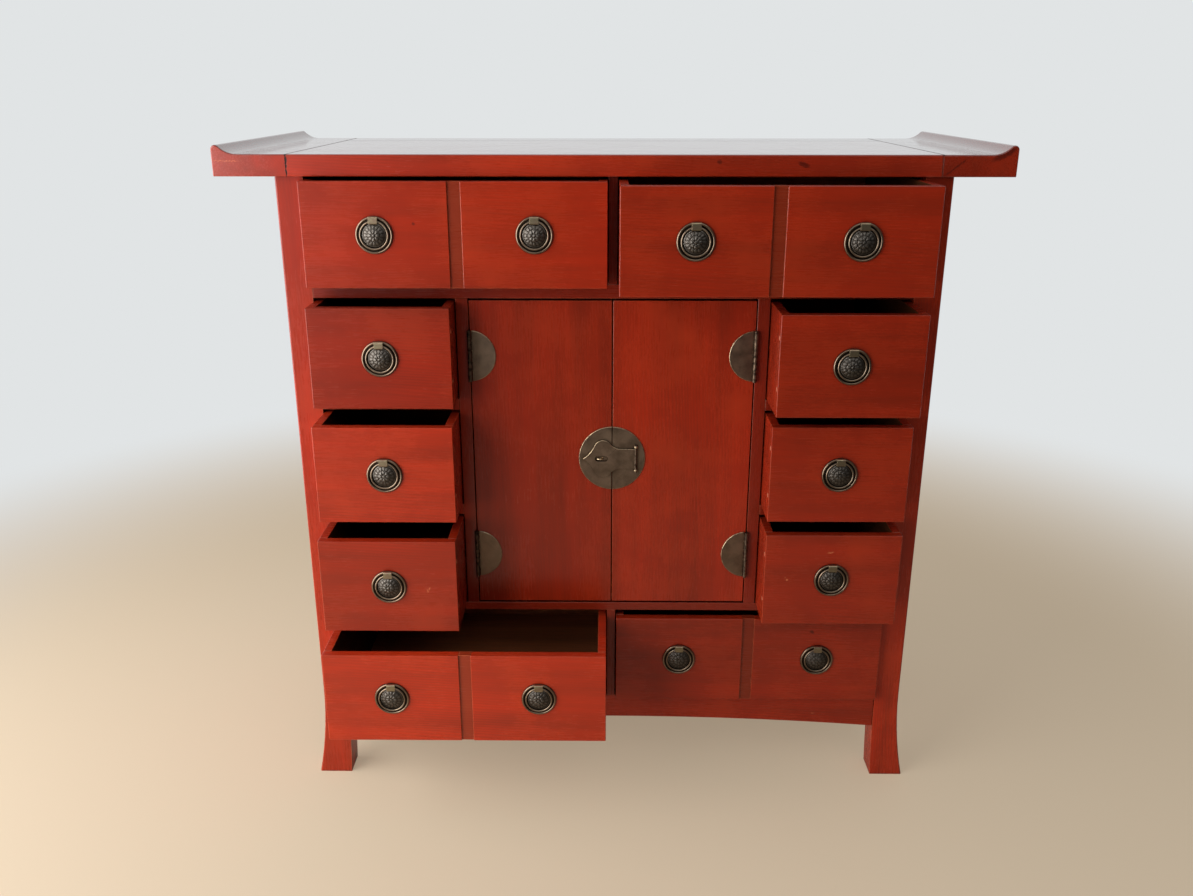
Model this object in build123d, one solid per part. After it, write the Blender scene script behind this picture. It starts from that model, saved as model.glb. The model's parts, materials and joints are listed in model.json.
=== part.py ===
from build123d import *
import os
from math import radians, sin, sqrt

# A low cabinet on four flared feet, under a top with upturned ends. Two rows of wide drawers, above
# and below, hold a cupboard with a pair of doors between two columns of small drawers.
# Millimetres. X runs to the right, Y to the back, Z up from the floor. While the pieces are made,
# Y = 0 is the front of the posts and rails; the finished cabinet is moved back to its own origin,
# on the floor under the middle of its box.

# ---------------------------------------------------------------- driving dimensions
# front frame, across
BODY_WIDTH = 1000.0
POST_WIDTH = 42.0
STILE_WIDTH = 19.0
DIVIDER_WIDTH = 14.0
CUPBOARD_WIDTH = 444.0
# front frame, upwards
APRON_TOP = 159.0
DRAWER_HEIGHT = 155.0
LOWER_RAIL_HEIGHT = 14.0
COLUMN_RAIL_HEIGHT = 18.0
HEAD_RAIL_HEIGHT = 21.5
# front to back
BODY_DEPTH = 448.0
FRAME_DEPTH = 45.0

# posts and feet
FLARE_HEIGHT = 168.0
FOOT_FLARE = 19.0
FOOT_SHIFT = 4.5
POST_EDGE_RADIUS = 3.0

# top
TOP_THICKNESS = 31.5
TOP_SIDE_OVERHANG = 85.0
TOP_FRONT_OVERHANG = 14.0
TOP_BACK_OVERHANG = 12.0
END_PIECE_WIDTH = 108.0
BACK_BOARD_WIDTH = 95.0
TOP_EDGE_RADIUS = 2.0
LIP_COVE_RADIUS = 38.0
LIP_CREST_RADIUS = 6.4
LIP_SLOPE = 45.0

# boards of the case
APRON_THICKNESS = 20.0
APRON_SETBACK = 2.0
APRON_ARCH_TOP = 116.0
APRON_ARCH_RISE = 17.5
SIDE_ARCH_RISE = 12.0
SIDE_APRON_INSET = 2.0
SIDE_PANEL_THICKNESS = 10.0
SIDE_PANEL_INSET = 6.0
BACK_PANEL_THICKNESS = 8.0
BACK_PANEL_INSET = 6.0
PANEL_TONGUE = 6.0
PARTITION_THICKNESS = 12.0
DUST_BOARD_THICKNESS = 10.0
SHELF_THICKNESS = 14.0
SHELF_HEIGHT = 250.0
SHELF_SETBACK = 20.0
SHELF_HOUSING = 4.0
RUNNER_WIDTH = 20.0
RUNNER_HEIGHT = 16.0

# drawers
FRONT_THICKNESS = 15.0
DRAWER_BACK_GAP = 14.0
DRAWER_SIDE = 13.0
DRAWER_BACK = 12.0
DRAWER_BACK_DROP = 8.0
DRAWER_BOTTOM = 5.0
BOTTOM_RAISED = 8.0
GROOVE_DEPTH = 5.0
STRIP_RECESS = 2.5
FRONT_EDGE_RADIUS = 1.2
DRAWER_SIDE_GAP = 1.5
DRAWER_UNDER_GAP = 0.5
DRAWER_OVER_GAP = 4.5
BOTTOM_ROW_OVER_GAP = 10.5

# doors
DOOR_THICKNESS = 18.0
DOOR_SIDE_GAP = 1.5
DOOR_MEETING_GAP = 1.5
DOOR_MEETING_BEVEL = 1.2
DOOR_END_GAP = 3.0
DOOR_STOP_HEIGHT = 8.0
DOOR_STOP_GAP = 0.6
DOOR_EDGE_RADIUS = 1.0

# ring pulls
PLATE_RADIUS = 27.5
PAN_THICKNESS = 1.4
RIM_HEIGHT = 3.4
RIM_WIDTH = 3.6
RIM_BEVEL = 1.0
BOSS_RADIUS = 18.0
BOSS_HEIGHT = 7.5
BOSS_STEP = 0.8
RING_RADIUS = 20.2
RING_WIRE_RADIUS = 1.4
RING_GAP = 0.5
STRAP_WIDTH = 13.5
STRAP_WALL = 1.2
PULL_RAISED = 1.0

# door hinges
HINGE_RADIUS = 40.5
HINGE_INSET = 87.0
HINGE_PLATE = 1.5
KNUCKLE_RADIUS = 3.2
KNUCKLES = 5
HINGE_PIN_RADIUS = 1.5
LEAF_THICKNESS = 1.0
LEAF_DEPTH = 12.0

# lock plates, hasp and staple
LOCK_RADIUS = 53.0
LOCK_PLATE = 1.5
HASP_THICKNESS = 1.6
HASP_LIFT = 0.9
HASP_HINGE_X = 38.0
HASP_NECK = 16.6
HASP_SHOULDER_X = 14.0
HASP_WAIST = (-2.5, 25.0)
HASP_LOBE_END = (-28.0, 22.0)
HASP_TIP_X = -46.4
HASP_BARREL_RADIUS = 2.2
HASP_PIN_RADIUS = 1.2
HASP_EYE_LENGTH = 6.0
SLOT_LENGTH = 20.9
SLOT_WIDTH = 9.5
SLOT_X = -17.0
STAPLE_X = -19.5
STAPLE_RADIUS = 5.0
STAPLE_WIRE_RADIUS = 1.1

# how far each drawer stands open
OPEN_BY = {
    "top_left": 38.0,
    "top_right": 102.5,
    "left_upper": 56.5,
    "left_middle": 79.5,
    "left_lower": 102.5,
    "right_upper": 96.5,
    "right_middle": 71.5,
    "right_lower": 72.5,
    "bottom_left": 137.0,
    "bottom_right": 11.5,
}

# running clearances, and how far a cutter passes the face it cuts
PIN_CLEARANCE = 0.05
EYE_CLEARANCE = 0.25
BARREL_GAP = 0.3
KNUCKLE_END_GAP = 0.4
CUT = 1.0

# ---------------------------------------------------------------- places that follow
x_outer = BODY_WIDTH / 2
x_post = x_outer - POST_WIDTH
x_stile_in = CUPBOARD_WIDTH / 2
x_stile_out = x_stile_in + STILE_WIDTH
x_divider = DIVIDER_WIDTH / 2
x_partition = x_stile_out - PARTITION_THICKNESS
x_panel_out = x_outer - SIDE_PANEL_INSET
x_panel_in = x_panel_out - SIDE_PANEL_THICKNESS
x_side_apron_out = x_outer - SIDE_APRON_INSET
x_side_apron_in = x_side_apron_out - APRON_THICKNESS

y_back_post = BODY_DEPTH - FRAME_DEPTH
y_back_panel_out = BODY_DEPTH - BACK_PANEL_INSET
y_back_panel = y_back_panel_out - BACK_PANEL_THICKNESS
y_apron_back = APRON_SETBACK + APRON_THICKNESS
y_back_apron = y_back_panel_out - APRON_THICKNESS
drawer_length = y_back_panel - DRAWER_BACK_GAP

opening = DRAWER_UNDER_GAP + DRAWER_HEIGHT + DRAWER_OVER_GAP
z_arch_foot = APRON_ARCH_TOP - APRON_ARCH_RISE
z_lower_rail = APRON_TOP + DRAWER_UNDER_GAP + DRAWER_HEIGHT + BOTTOM_ROW_OVER_GAP
z_floor = z_lower_rail + LOWER_RAIL_HEIGHT
column_pitch = opening + COLUMN_RAIL_HEIGHT
z_column_rails = [z_floor + opening + level * column_pitch for level in range(2)]
z_head_rail = z_floor + opening + 2 * column_pitch
z_top_row = z_head_rail + HEAD_RAIL_HEIGHT
z_under_top = z_top_row + opening
z_top = z_under_top + TOP_THICKNESS
z_under_floor = z_floor - DUST_BOARD_THICKNESS
z_ceiling = z_top_row - DUST_BOARD_THICKNESS

x_end = x_outer + TOP_SIDE_OVERHANG
x_joint = x_end - END_PIECE_WIDTH
y_top_front = -TOP_FRONT_OVERHANG
y_top_back = BODY_DEPTH + TOP_BACK_OVERHANG
y_back_board = y_top_back - BACK_BOARD_WIDTH

door_in = DOOR_MEETING_GAP / 2
door_out = x_stile_in - DOOR_SIDE_GAP
z_door = z_floor + DOOR_END_GAP
z_door_top = z_head_rail - DOOR_END_GAP
z_lock = (z_door + z_door_top) / 2
# the hinge line stands just proud of the doors, over the gap beside the stile
hinge_x = x_stile_in - LEAF_THICKNESS / 2
hinge_y = -(KNUCKLE_RADIUS + BARREL_GAP)
hinge_heights = [z_door + HINGE_INSET, z_door_top - HINGE_INSET]
knuckle_pitch = 2 * HINGE_RADIUS / KNUCKLES
# the hasp turns on a line in front of the right door
hasp_y = -(LOCK_PLATE + HASP_BARREL_RADIUS + BARREL_GAP)
hasp_back = -(LOCK_PLATE + HASP_LIFT)
hasp_front = hasp_back - HASP_THICKNESS

# drawers on the right-hand side: columns are narrow, the top and bottom rows are wide
narrow_drawer = (x_stile_out + DRAWER_SIDE_GAP, x_post - DRAWER_SIDE_GAP)
wide_drawer = (x_divider + DRAWER_SIDE_GAP, x_post - DRAWER_SIDE_GAP)
outer_pull = (narrow_drawer[0] + narrow_drawer[1]) / 2
inner_pull = (wide_drawer[0] + x_stile_in) / 2
row_floors = {
    "bottom": APRON_TOP,
    "lower": z_floor,
    "middle": z_column_rails[0] + COLUMN_RAIL_HEIGHT,
    "upper": z_column_rails[1] + COLUMN_RAIL_HEIGHT,
    "top": z_top_row,
}
# a ring hangs from a line above the middle of its plate, and dips on each side inside the strap
ring_stand_off = PAN_THICKNESS + RING_WIRE_RADIUS + RING_GAP
ring_dip = RING_RADIUS - sqrt(RING_RADIUS ** 2 - (STRAP_WIDTH / 2) ** 2)
strap_bore = RING_WIRE_RADIUS + ring_dip + EYE_CLEARANCE
strap_outer = strap_bore + STRAP_WALL

# the origin is half-way between the back edge of the top and the foremost pull
pull_depth = max(BOSS_HEIGHT, ring_stand_off + strap_outer)
y_foremost = -max(max(OPEN_BY.values()) + pull_depth, TOP_FRONT_OVERHANG)
to_origin = Pos(0, -(y_foremost + y_top_back) / 2, 0)


# ---------------------------------------------------------------- shared shapes
def board(x0, x1, y0, y1, z0, z1):
    """A plain board between two corners."""
    size = Box(x1 - x0, y1 - y0, z1 - z0, align=(Align.MIN, Align.MIN, Align.MIN))
    return Pos(x0, y0, z0) * size


def along_y(outline, y0, y1):
    """A length with an outline drawn in X and Z, from y0 back to y1."""
    return extrude(Plane.XZ.offset(-y0) * make_face(outline), amount=-(y1 - y0))


def along_x(outline, x0, x1):
    """A length with an outline drawn in Y and Z, from x0 to x1."""
    return extrude(Plane.YZ.offset(x0) * make_face(outline), amount=x1 - x0)


def upright_bar(radius, x, y, z0, z1):
    """A round bar that stands between two heights."""
    bar = Cylinder(radius, z1 - z0, align=(Align.CENTER, Align.CENTER, Align.MIN))
    return Pos(x, y, z0) * bar


def plate_disc(radius, x, z, thickness):
    """A round plate lying on the front plane of the frame."""
    disc = Cylinder(radius, thickness, align=(Align.CENTER, Align.CENTER, Align.MIN))
    return Pos(x, 0, z) * Rot(90, 0, 0) * disc


def other_side(shape):
    """The same piece for the left side."""
    return mirror(shape, about=Plane.YZ)


def both_sides(shape):
    return [shape, other_side(shape)]


def front_face(shape):
    return shape.faces().sort_by(Axis.Y)[0]


# ---------------------------------------------------------------- top
def top_end():
    """Right-hand end of the top: a cove that rises into a rounded, upturned lip."""
    rise = sin(radians(LIP_SLOPE))
    cove_start = x_end - LIP_CREST_RADIUS * (1 + rise) - LIP_COVE_RADIUS * rise
    flat = Line((x_joint, z_top), (cove_start, z_top))
    cove = JernArc(start=flat @ 1, tangent=(1, 0), radius=LIP_COVE_RADIUS, arc_size=LIP_SLOPE)
    crest = JernArc(start=cove @ 1, tangent=cove % 1, radius=LIP_CREST_RADIUS, arc_size=-(90 + LIP_SLOPE))
    rest = Polyline(crest @ 1, (x_end, z_under_top), (x_joint, z_under_top), (x_joint, z_top))
    end = along_y(Curve() + [flat, cove, crest, rest], y_top_front, y_top_back)
    rounded = front_face(end).edges().sort_by(Axis.X)[1:]
    return fillet(rounded, TOP_EDGE_RADIUS)


def top_front_board():
    wide = board(-x_joint, x_joint, y_top_front, y_back_board, z_under_top, z_top)
    return fillet(front_face(wide).edges().filter_by(Axis.X), TOP_EDGE_RADIUS)


def top_back_board():
    return board(-x_joint, x_joint, y_back_board, y_top_back, z_under_top, z_top)


# ---------------------------------------------------------------- posts and case
def side_panel():
    return board(x_panel_in, x_panel_out, FRAME_DEPTH - PANEL_TONGUE, y_back_post + PANEL_TONGUE,
                 APRON_TOP, z_under_top)


def back_panel():
    half = x_post + PANEL_TONGUE
    return board(-half, half, y_back_panel, y_back_panel_out, APRON_TOP, z_under_top)


def post(y0):
    """Right-hand post, grooved for the panels, whose foot sweeps outwards to the floor."""
    inner = Line((x_post, z_under_top), (x_post, FLARE_HEIGHT))
    inner_sweep = TangentArc(inner @ 1, (x_post + FOOT_SHIFT, 0), tangent=(0, -1))
    sole = Line(inner_sweep @ 1, (x_outer + FOOT_FLARE, 0))
    outer_sweep = TangentArc((x_outer, FLARE_HEIGHT), sole @ 1, tangent=(0, -1))
    outer = Polyline(outer_sweep @ 0, (x_outer, z_under_top), inner @ 0)
    shape = along_y(Curve() + [inner, inner_sweep, sole, outer_sweep, outer], y0, y0 + FRAME_DEPTH)
    shape = shape - side_panel() - back_panel()
    lengthwise = shape.edges().filter_by(Axis.Y, reverse=True)
    outside = lengthwise.filter_by(lambda edge: edge.center().X > x_outer - CUT)
    return fillet(outside, POST_EDGE_RADIUS)


def wide_apron(y0, arch_rise):
    """A rail between the feet, its ends scribed to the posts and its lower edge arched."""
    half = x_post + FOOT_SHIFT
    z_foot = z_arch_foot
    arch = ThreePointArc((-half, z_foot), (0, z_foot + arch_rise), (half, z_foot))
    edge = Polyline((half, z_foot), (half, APRON_TOP), (-half, APRON_TOP), (-half, z_foot))
    apron = along_y(Curve() + [arch, edge], y0, y0 + APRON_THICKNESS)
    for upright in both_sides(post(0)) + both_sides(post(y_back_post)):
        apron = apron - upright
    return apron


def side_apron():
    middle = (FRAME_DEPTH + y_back_post) / 2
    arch = ThreePointArc((FRAME_DEPTH, z_arch_foot), (middle, z_arch_foot + SIDE_ARCH_RISE),
                         (y_back_post, z_arch_foot))
    edge = Polyline((y_back_post, z_arch_foot), (y_back_post, APRON_TOP), (FRAME_DEPTH, APRON_TOP),
                    (FRAME_DEPTH, z_arch_foot))
    return along_x(Curve() + [arch, edge], x_side_apron_in, x_side_apron_out)


def door_stop(z0, z1):
    """Strip on a rail that the doors close against."""
    return board(-x_stile_in, x_stile_in, DOOR_THICKNESS + DOOR_STOP_GAP, FRAME_DEPTH, z0, z1)


def head_rail():
    rail = board(-x_post, x_post, 0, FRAME_DEPTH, z_head_rail, z_top_row)
    return [rail, door_stop(z_head_rail - DOOR_STOP_HEIGHT, z_head_rail)]


def lower_rail():
    rail = board(-x_post, x_post, 0, FRAME_DEPTH, z_lower_rail, z_floor)
    return [rail, door_stop(z_floor, z_floor + DOOR_STOP_HEIGHT)]


def column_rails():
    rails = []
    for z in z_column_rails:
        rails += both_sides(board(x_stile_out, x_post, 0, FRAME_DEPTH, z, z + COLUMN_RAIL_HEIGHT))
    return rails


def front_uprights():
    """The stiles beside the cupboard and the two short dividers between the wide drawers."""
    stiles = both_sides(board(x_stile_in, x_stile_out, 0, FRAME_DEPTH, z_floor, z_head_rail))
    upper = board(-x_divider, x_divider, 0, FRAME_DEPTH, z_top_row, z_under_top)
    lower = board(-x_divider, x_divider, 0, FRAME_DEPTH, APRON_TOP, z_lower_rail)
    return stiles + [upper, lower]


def dust_board(z0, z1):
    """A board across the whole case, notched round the back posts."""
    notched = board(-x_post, x_post, y_back_post, y_back_panel, z0, z1)
    return notched + board(-x_panel_in, x_panel_in, FRAME_DEPTH, y_back_post, z0, z1)


def dust_boards():
    """The cupboard's floor and ceiling; the upper drawers run on the ceiling."""
    return [dust_board(z, z + DUST_BOARD_THICKNESS) for z in (z_under_floor, z_ceiling)]


def cupboard_shelf():
    half = x_partition + SHELF_HOUSING
    z = z_floor + SHELF_HEIGHT
    return board(-half, half, FRAME_DEPTH + SHELF_SETBACK, y_back_panel, z, z + SHELF_THICKNESS)


def partitions():
    """Cupboard sides, housed for the shelf, and a board behind each short divider."""
    side = board(x_partition, x_stile_out, FRAME_DEPTH, y_back_panel, z_floor, z_ceiling) - cupboard_shelf()
    half = PARTITION_THICKNESS / 2
    upper = board(-half, half, FRAME_DEPTH, y_back_panel, z_top_row, z_under_top)
    lower = board(-half, half, FRAME_DEPTH, y_back_panel, APRON_TOP, z_under_floor)
    return both_sides(side) + [upper, lower]


def drawer_runners():
    """Strips that carry the drawer sides behind the rails and the apron."""
    runners = []
    x_inner_end = x_stile_out + RUNNER_WIDTH
    x_outer_end = x_post - RUNNER_WIDTH
    for z in z_column_rails:
        top = z + COLUMN_RAIL_HEIGHT
        low = top - RUNNER_HEIGHT
        runners += both_sides(board(x_stile_out, x_inner_end, FRAME_DEPTH, y_back_panel, low, top))
        runners += both_sides(board(x_outer_end, x_panel_in, FRAME_DEPTH, y_back_post, low, top))
    low = APRON_TOP - RUNNER_HEIGHT
    half = PARTITION_THICKNESS / 2 + RUNNER_WIDTH
    runners += both_sides(board(x_outer_end, x_side_apron_in, FRAME_DEPTH, y_back_post, low, APRON_TOP))
    runners.append(board(-half, half, y_apron_back, y_back_apron, low, APRON_TOP))
    return runners


# ---------------------------------------------------------------- drawers
def drawer(span, z_row, opened):
    """A right-hand drawer box; a wide front has a sunk strip in line with the stile."""
    x0, x1 = span
    z0 = z_row + DRAWER_UNDER_GAP
    z1 = z0 + DRAWER_HEIGHT
    y_front = -opened
    y_box = y_front + FRONT_THICKNESS
    y_end = y_front + drawer_length
    x_in = x0 + DRAWER_SIDE
    x_out = x1 - DRAWER_SIDE
    z_bottom = z0 + BOTTOM_RAISED
    bottom = board(x_in - GROOVE_DEPTH, x_out + GROOVE_DEPTH, y_box - GROOVE_DEPTH, y_end,
                   z_bottom, z_bottom + DRAWER_BOTTOM)
    face = board(x0, x1, y_front, y_box, z0, z1)
    face = fillet(front_face(face).edges(), FRONT_EDGE_RADIUS) - bottom
    if x0 < x_stile_in:
        face = face - board(x_stile_in, x_stile_out, y_front - CUT, y_front + STRIP_RECESS, z0 - CUT, z1 + CUT)
    sides = [board(x0, x_in, y_box, y_end, z0, z1) - bottom,
             board(x_out, x1, y_box, y_end, z0, z1) - bottom]
    back = board(x_in, x_out, y_end - DRAWER_BACK, y_end, z_bottom + DRAWER_BOTTOM, z1 - DRAWER_BACK_DROP)
    return [face, *sides, back, bottom]


# ---------------------------------------------------------------- ring pulls
def pull_plate():
    """A raised rim, a sunk pan and a domed boss, turned about the middle of the plate."""
    rim_in = PLATE_RADIUS - RIM_WIDTH
    foot = Polyline((0, BOSS_HEIGHT), (0, 0), (PLATE_RADIUS, 0), (PLATE_RADIUS, PAN_THICKNESS))
    rim = Polyline(foot @ 1, (PLATE_RADIUS - RIM_BEVEL, RIM_HEIGHT), (rim_in + RIM_BEVEL, RIM_HEIGHT),
                   (rim_in, PAN_THICKNESS))
    pan = Polyline(rim @ 1, (BOSS_RADIUS, PAN_THICKNESS), (BOSS_RADIUS, PAN_THICKNESS + BOSS_STEP))
    dome = TangentArc(foot @ 0, pan @ 1, tangent=(1, 0))
    section = make_face(Curve() + [foot, rim, pan, dome])
    return Rot(90, 0, 0) * revolve(Plane.XZ * section, Axis.Z)


def pull_strap():
    """Clip folded from the rim down over the ring, with the eye that the ring turns in."""
    bar_y = -ring_stand_off
    top = Line((-RIM_HEIGHT, PLATE_RADIUS), (0, PLATE_RADIUS))
    back = Line(top @ 1, (0, RING_RADIUS - strap_outer))
    under = Line(back @ 1, (bar_y, RING_RADIUS - strap_outer))
    nose = TangentArc(under @ 1, (bar_y - strap_outer, RING_RADIUS), tangent=(-1, 0))
    shoulder = TangentArc(nose @ 1, top @ 0, tangent=(0, 1))
    half = STRAP_WIDTH / 2
    strap = along_x(Curve() + [top, back, under, nose, shoulder], -half, half)
    eye = Pos(0, bar_y, RING_RADIUS) * Rot(0, 90, 0) * Cylinder(strap_bore, STRAP_WIDTH + 2 * CUT)
    return strap - eye


def pull_places(span, z_row, opened):
    """Middle of each ring pull on a drawer front."""
    z = z_row + DRAWER_UNDER_GAP + DRAWER_HEIGHT / 2 + PULL_RAISED
    across = [outer_pull, inner_pull] if span[0] < x_stile_in else [outer_pull]
    return [Pos(x, -opened, z) for x in across]


def pull_ring():
    """Ring of eight-sided wire, hammered from bar."""
    wire = Plane.XZ * Pos(RING_RADIUS, 0) * RegularPolygon(RING_WIRE_RADIUS, 8)
    return Pos(0, -ring_stand_off, 0) * Rot(90, 0, 0) * revolve(wire, Axis.Z)


# ---------------------------------------------------------------- doors and their brass
def door():
    """Right-hand door, its meeting edge bevelled so that the pair can open together."""
    outline = Polyline((door_in, 0), (door_out, 0), (door_out, DOOR_THICKNESS),
                       (door_in + DOOR_MEETING_BEVEL, DOOR_THICKNESS), (door_in, 0))
    leaf = Pos(0, 0, z_door) * extrude(make_face(outline), amount=z_door_top - z_door)
    return fillet(front_face(leaf).edges(), DOOR_EDGE_RADIUS)


def knuckles(z_middle, first):
    """Every second knuckle of a hinge barrel, counted from first."""
    start = z_middle - HINGE_RADIUS
    ends = [(start + i * knuckle_pitch, start + (i + 1) * knuckle_pitch) for i in range(first, KNUCKLES, 2)]
    return [(low + KNUCKLE_END_GAP / 2, high - KNUCKLE_END_GAP / 2) for low, high in ends]


def hinge_plate(z_middle):
    """Half-round plate on the door, with the knuckles that turn on the pin."""
    plate_end = hinge_x - KNUCKLE_RADIUS - BARREL_GAP
    half = board(hinge_x - HINGE_RADIUS, plate_end, -HINGE_PLATE, 0, z_middle - HINGE_RADIUS,
                 z_middle + HINGE_RADIUS)
    plate = plate_disc(HINGE_RADIUS, hinge_x, z_middle, HINGE_PLATE) & half
    for low, high in knuckles(z_middle, 1):
        plate = plate + board(plate_end, door_out, -HINGE_PLATE, 0, low, high)
        plate = plate + upright_bar(KNUCKLE_RADIUS, hinge_x, hinge_y, low, high)
    bore = upright_bar(HINGE_PIN_RADIUS + PIN_CLEARANCE, hinge_x, hinge_y, z_middle - HINGE_RADIUS - CUT,
                       z_middle + HINGE_RADIUS + CUT)
    return plate - bore


def hinge_leaf(z_middle):
    """Narrow leaf on the stile's inner face, with its knuckles and the pin fixed in them."""
    x_leaf = x_stile_in - LEAF_THICKNESS
    low_end = z_middle - HINGE_RADIUS
    high_end = z_middle + HINGE_RADIUS
    leaf = board(x_leaf, x_stile_in, 0, LEAF_DEPTH, low_end, high_end)
    for low, high in knuckles(z_middle, 0):
        leaf = leaf + board(x_leaf, x_stile_in, hinge_y, 0, low, high)
        leaf = leaf + upright_bar(KNUCKLE_RADIUS, hinge_x, hinge_y, low, high)
    return leaf + upright_bar(HINGE_PIN_RADIUS, hinge_x, hinge_y, low_end, high_end)


def lock_plate():
    """Right-hand half of the round plate behind the hasp."""
    side = board(door_in, LOCK_RADIUS, -LOCK_PLATE, 0, z_lock - LOCK_RADIUS, z_lock + LOCK_RADIUS)
    return plate_disc(LOCK_RADIUS, 0, z_lock, LOCK_PLATE) & side


def hasp_pivot():
    """Eyes on the lock plate above and below the hasp, and the pin between them."""
    reach = HASP_NECK + BARREL_GAP + HASP_EYE_LENGTH
    parts = upright_bar(HASP_PIN_RADIUS, HASP_HINGE_X, hasp_y, z_lock - reach, z_lock + reach)
    for low in (z_lock - reach, z_lock + reach - HASP_EYE_LENGTH):
        high = low + HASP_EYE_LENGTH
        parts = parts + upright_bar(HASP_BARREL_RADIUS, HASP_HINGE_X, hasp_y, low, high)
        parts = parts + board(HASP_HINGE_X - HASP_PIN_RADIUS, HASP_HINGE_X + HASP_PIN_RADIUS,
                              hasp_y, -LOCK_PLATE, low, high)
    return parts


def hasp():
    """Waisted, two-lobed plate that runs to a point, with a slot for the staple and a barrel."""
    neck = Line((HASP_HINGE_X, HASP_NECK), (HASP_SHOULDER_X, HASP_NECK))
    shoulder = TangentArc(neck @ 1, HASP_WAIST, tangent=(-1, 0))
    lobe = TangentArc(shoulder @ 1, HASP_LOBE_END, tangent=shoulder % 1)
    tail = TangentArc(lobe @ 1, (HASP_TIP_X, 0), tangent=lobe % 1)
    middle = Polyline(tail @ 1, (HASP_HINGE_X, 0), neck @ 0)
    upper = make_face(Curve() + [neck, shoulder, lobe, tail, middle])
    outline = upper + mirror(upper, about=Plane.XZ)
    outline = outline - Pos(SLOT_X, 0) * SlotOverall(SLOT_LENGTH, SLOT_WIDTH)
    plate = extrude(Plane.XZ.offset(-hasp_front) * outline, amount=-HASP_THICKNESS)
    barrel = upright_bar(HASP_BARREL_RADIUS, HASP_HINGE_X, hasp_y, -HASP_NECK, HASP_NECK)
    bore = upright_bar(HASP_PIN_RADIUS + PIN_CLEARANCE, HASP_HINGE_X, hasp_y, -HASP_NECK - CUT, HASP_NECK + CUT)
    return Pos(0, 0, z_lock) * (plate + barrel - bore)


def staple():
    """Half ring that stands out of the left lock plate through the hasp."""
    half_ring = Rot(0, 0, 180) * Torus(STAPLE_RADIUS, STAPLE_WIRE_RADIUS, major_angle=180, align=None)
    return Pos(STAPLE_X, -LOCK_PLATE, z_lock) * half_ring


# ---------------------------------------------------------------- the whole cabinet
def case_pieces():
    """The pieces that stay still, by name."""
    return {
        "top_front_board": [top_front_board()],
        "top_back_board": [top_back_board()],
        "top_end_right": [top_end()],
        "top_end_left": [other_side(top_end())],
        "front_post_right": [post(0)],
        "front_post_left": [other_side(post(0))],
        "back_post_right": [post(y_back_post)],
        "back_post_left": [other_side(post(y_back_post))],
        "side_panels": both_sides(side_panel()),
        "back_panel": [back_panel()],
        "front_apron": [wide_apron(APRON_SETBACK, APRON_ARCH_RISE)],
        "case_aprons": both_sides(side_apron()) + [wide_apron(y_back_apron, SIDE_ARCH_RISE)],
        "head_rail": head_rail(),
        "lower_rail": lower_rail(),
        "column_rails": column_rails(),
        "front_uprights": front_uprights(),
        "dust_boards": dust_boards(),
        "cupboard_shelf": [cupboard_shelf()],
        "partitions": partitions(),
        "drawer_runners": drawer_runners(),
        "hinge_leaves": [piece for z in hinge_heights for piece in both_sides(hinge_leaf(z))],
    }


def door_pieces():
    """The pair of doors with what is fixed to them, and the hasp that swings on the right one."""
    plates = [hinge_plate(z) for z in hinge_heights]
    return {
        "door_right": [door()],
        "door_left": [other_side(door())],
        "door_right_brass": [lock_plate() + hasp_pivot(), *plates],
        "door_left_brass": [other_side(lock_plate()), staple()] + [other_side(plate) for plate in plates],
        "hasp": [hasp()],
    }


def drawer_pieces():
    """Ten drawers, each with its pull plates and with its rings as pieces of their own."""
    pieces = {}
    plate = pull_plate() + pull_strap()
    for name, opened in OPEN_BY.items():
        wide = name.startswith(("top", "bottom"))
        span = wide_drawer if wide else narrow_drawer
        row = name.split("_")[0 if wide else 1]
        places = pull_places(span, row_floors[row], opened)
        pieces["drawer_" + name] = drawer(span, row_floors[row], opened)
        pieces["pulls_" + name] = [place * plate for place in places]
        for place, suffix in zip(places, ("", "_inner")):
            pieces["ring_" + name + suffix] = [place * pull_ring()]
    for node, solids in pieces.items():
        if "left" in node:
            pieces[node] = [other_side(solid) for solid in solids]
    return pieces


os.makedirs("parts", exist_ok=True)
for node, solids in {**case_pieces(), **door_pieces(), **drawer_pieces()}.items():
    export_step(to_origin * Compound(solids), "parts/" + node + ".step")
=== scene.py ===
import json
import math
from collections import namedtuple

import bmesh
import bpy
from bpy.props import FloatProperty, FloatVectorProperty, IntProperty, PointerProperty
from mathutils import Matrix, Vector

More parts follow.
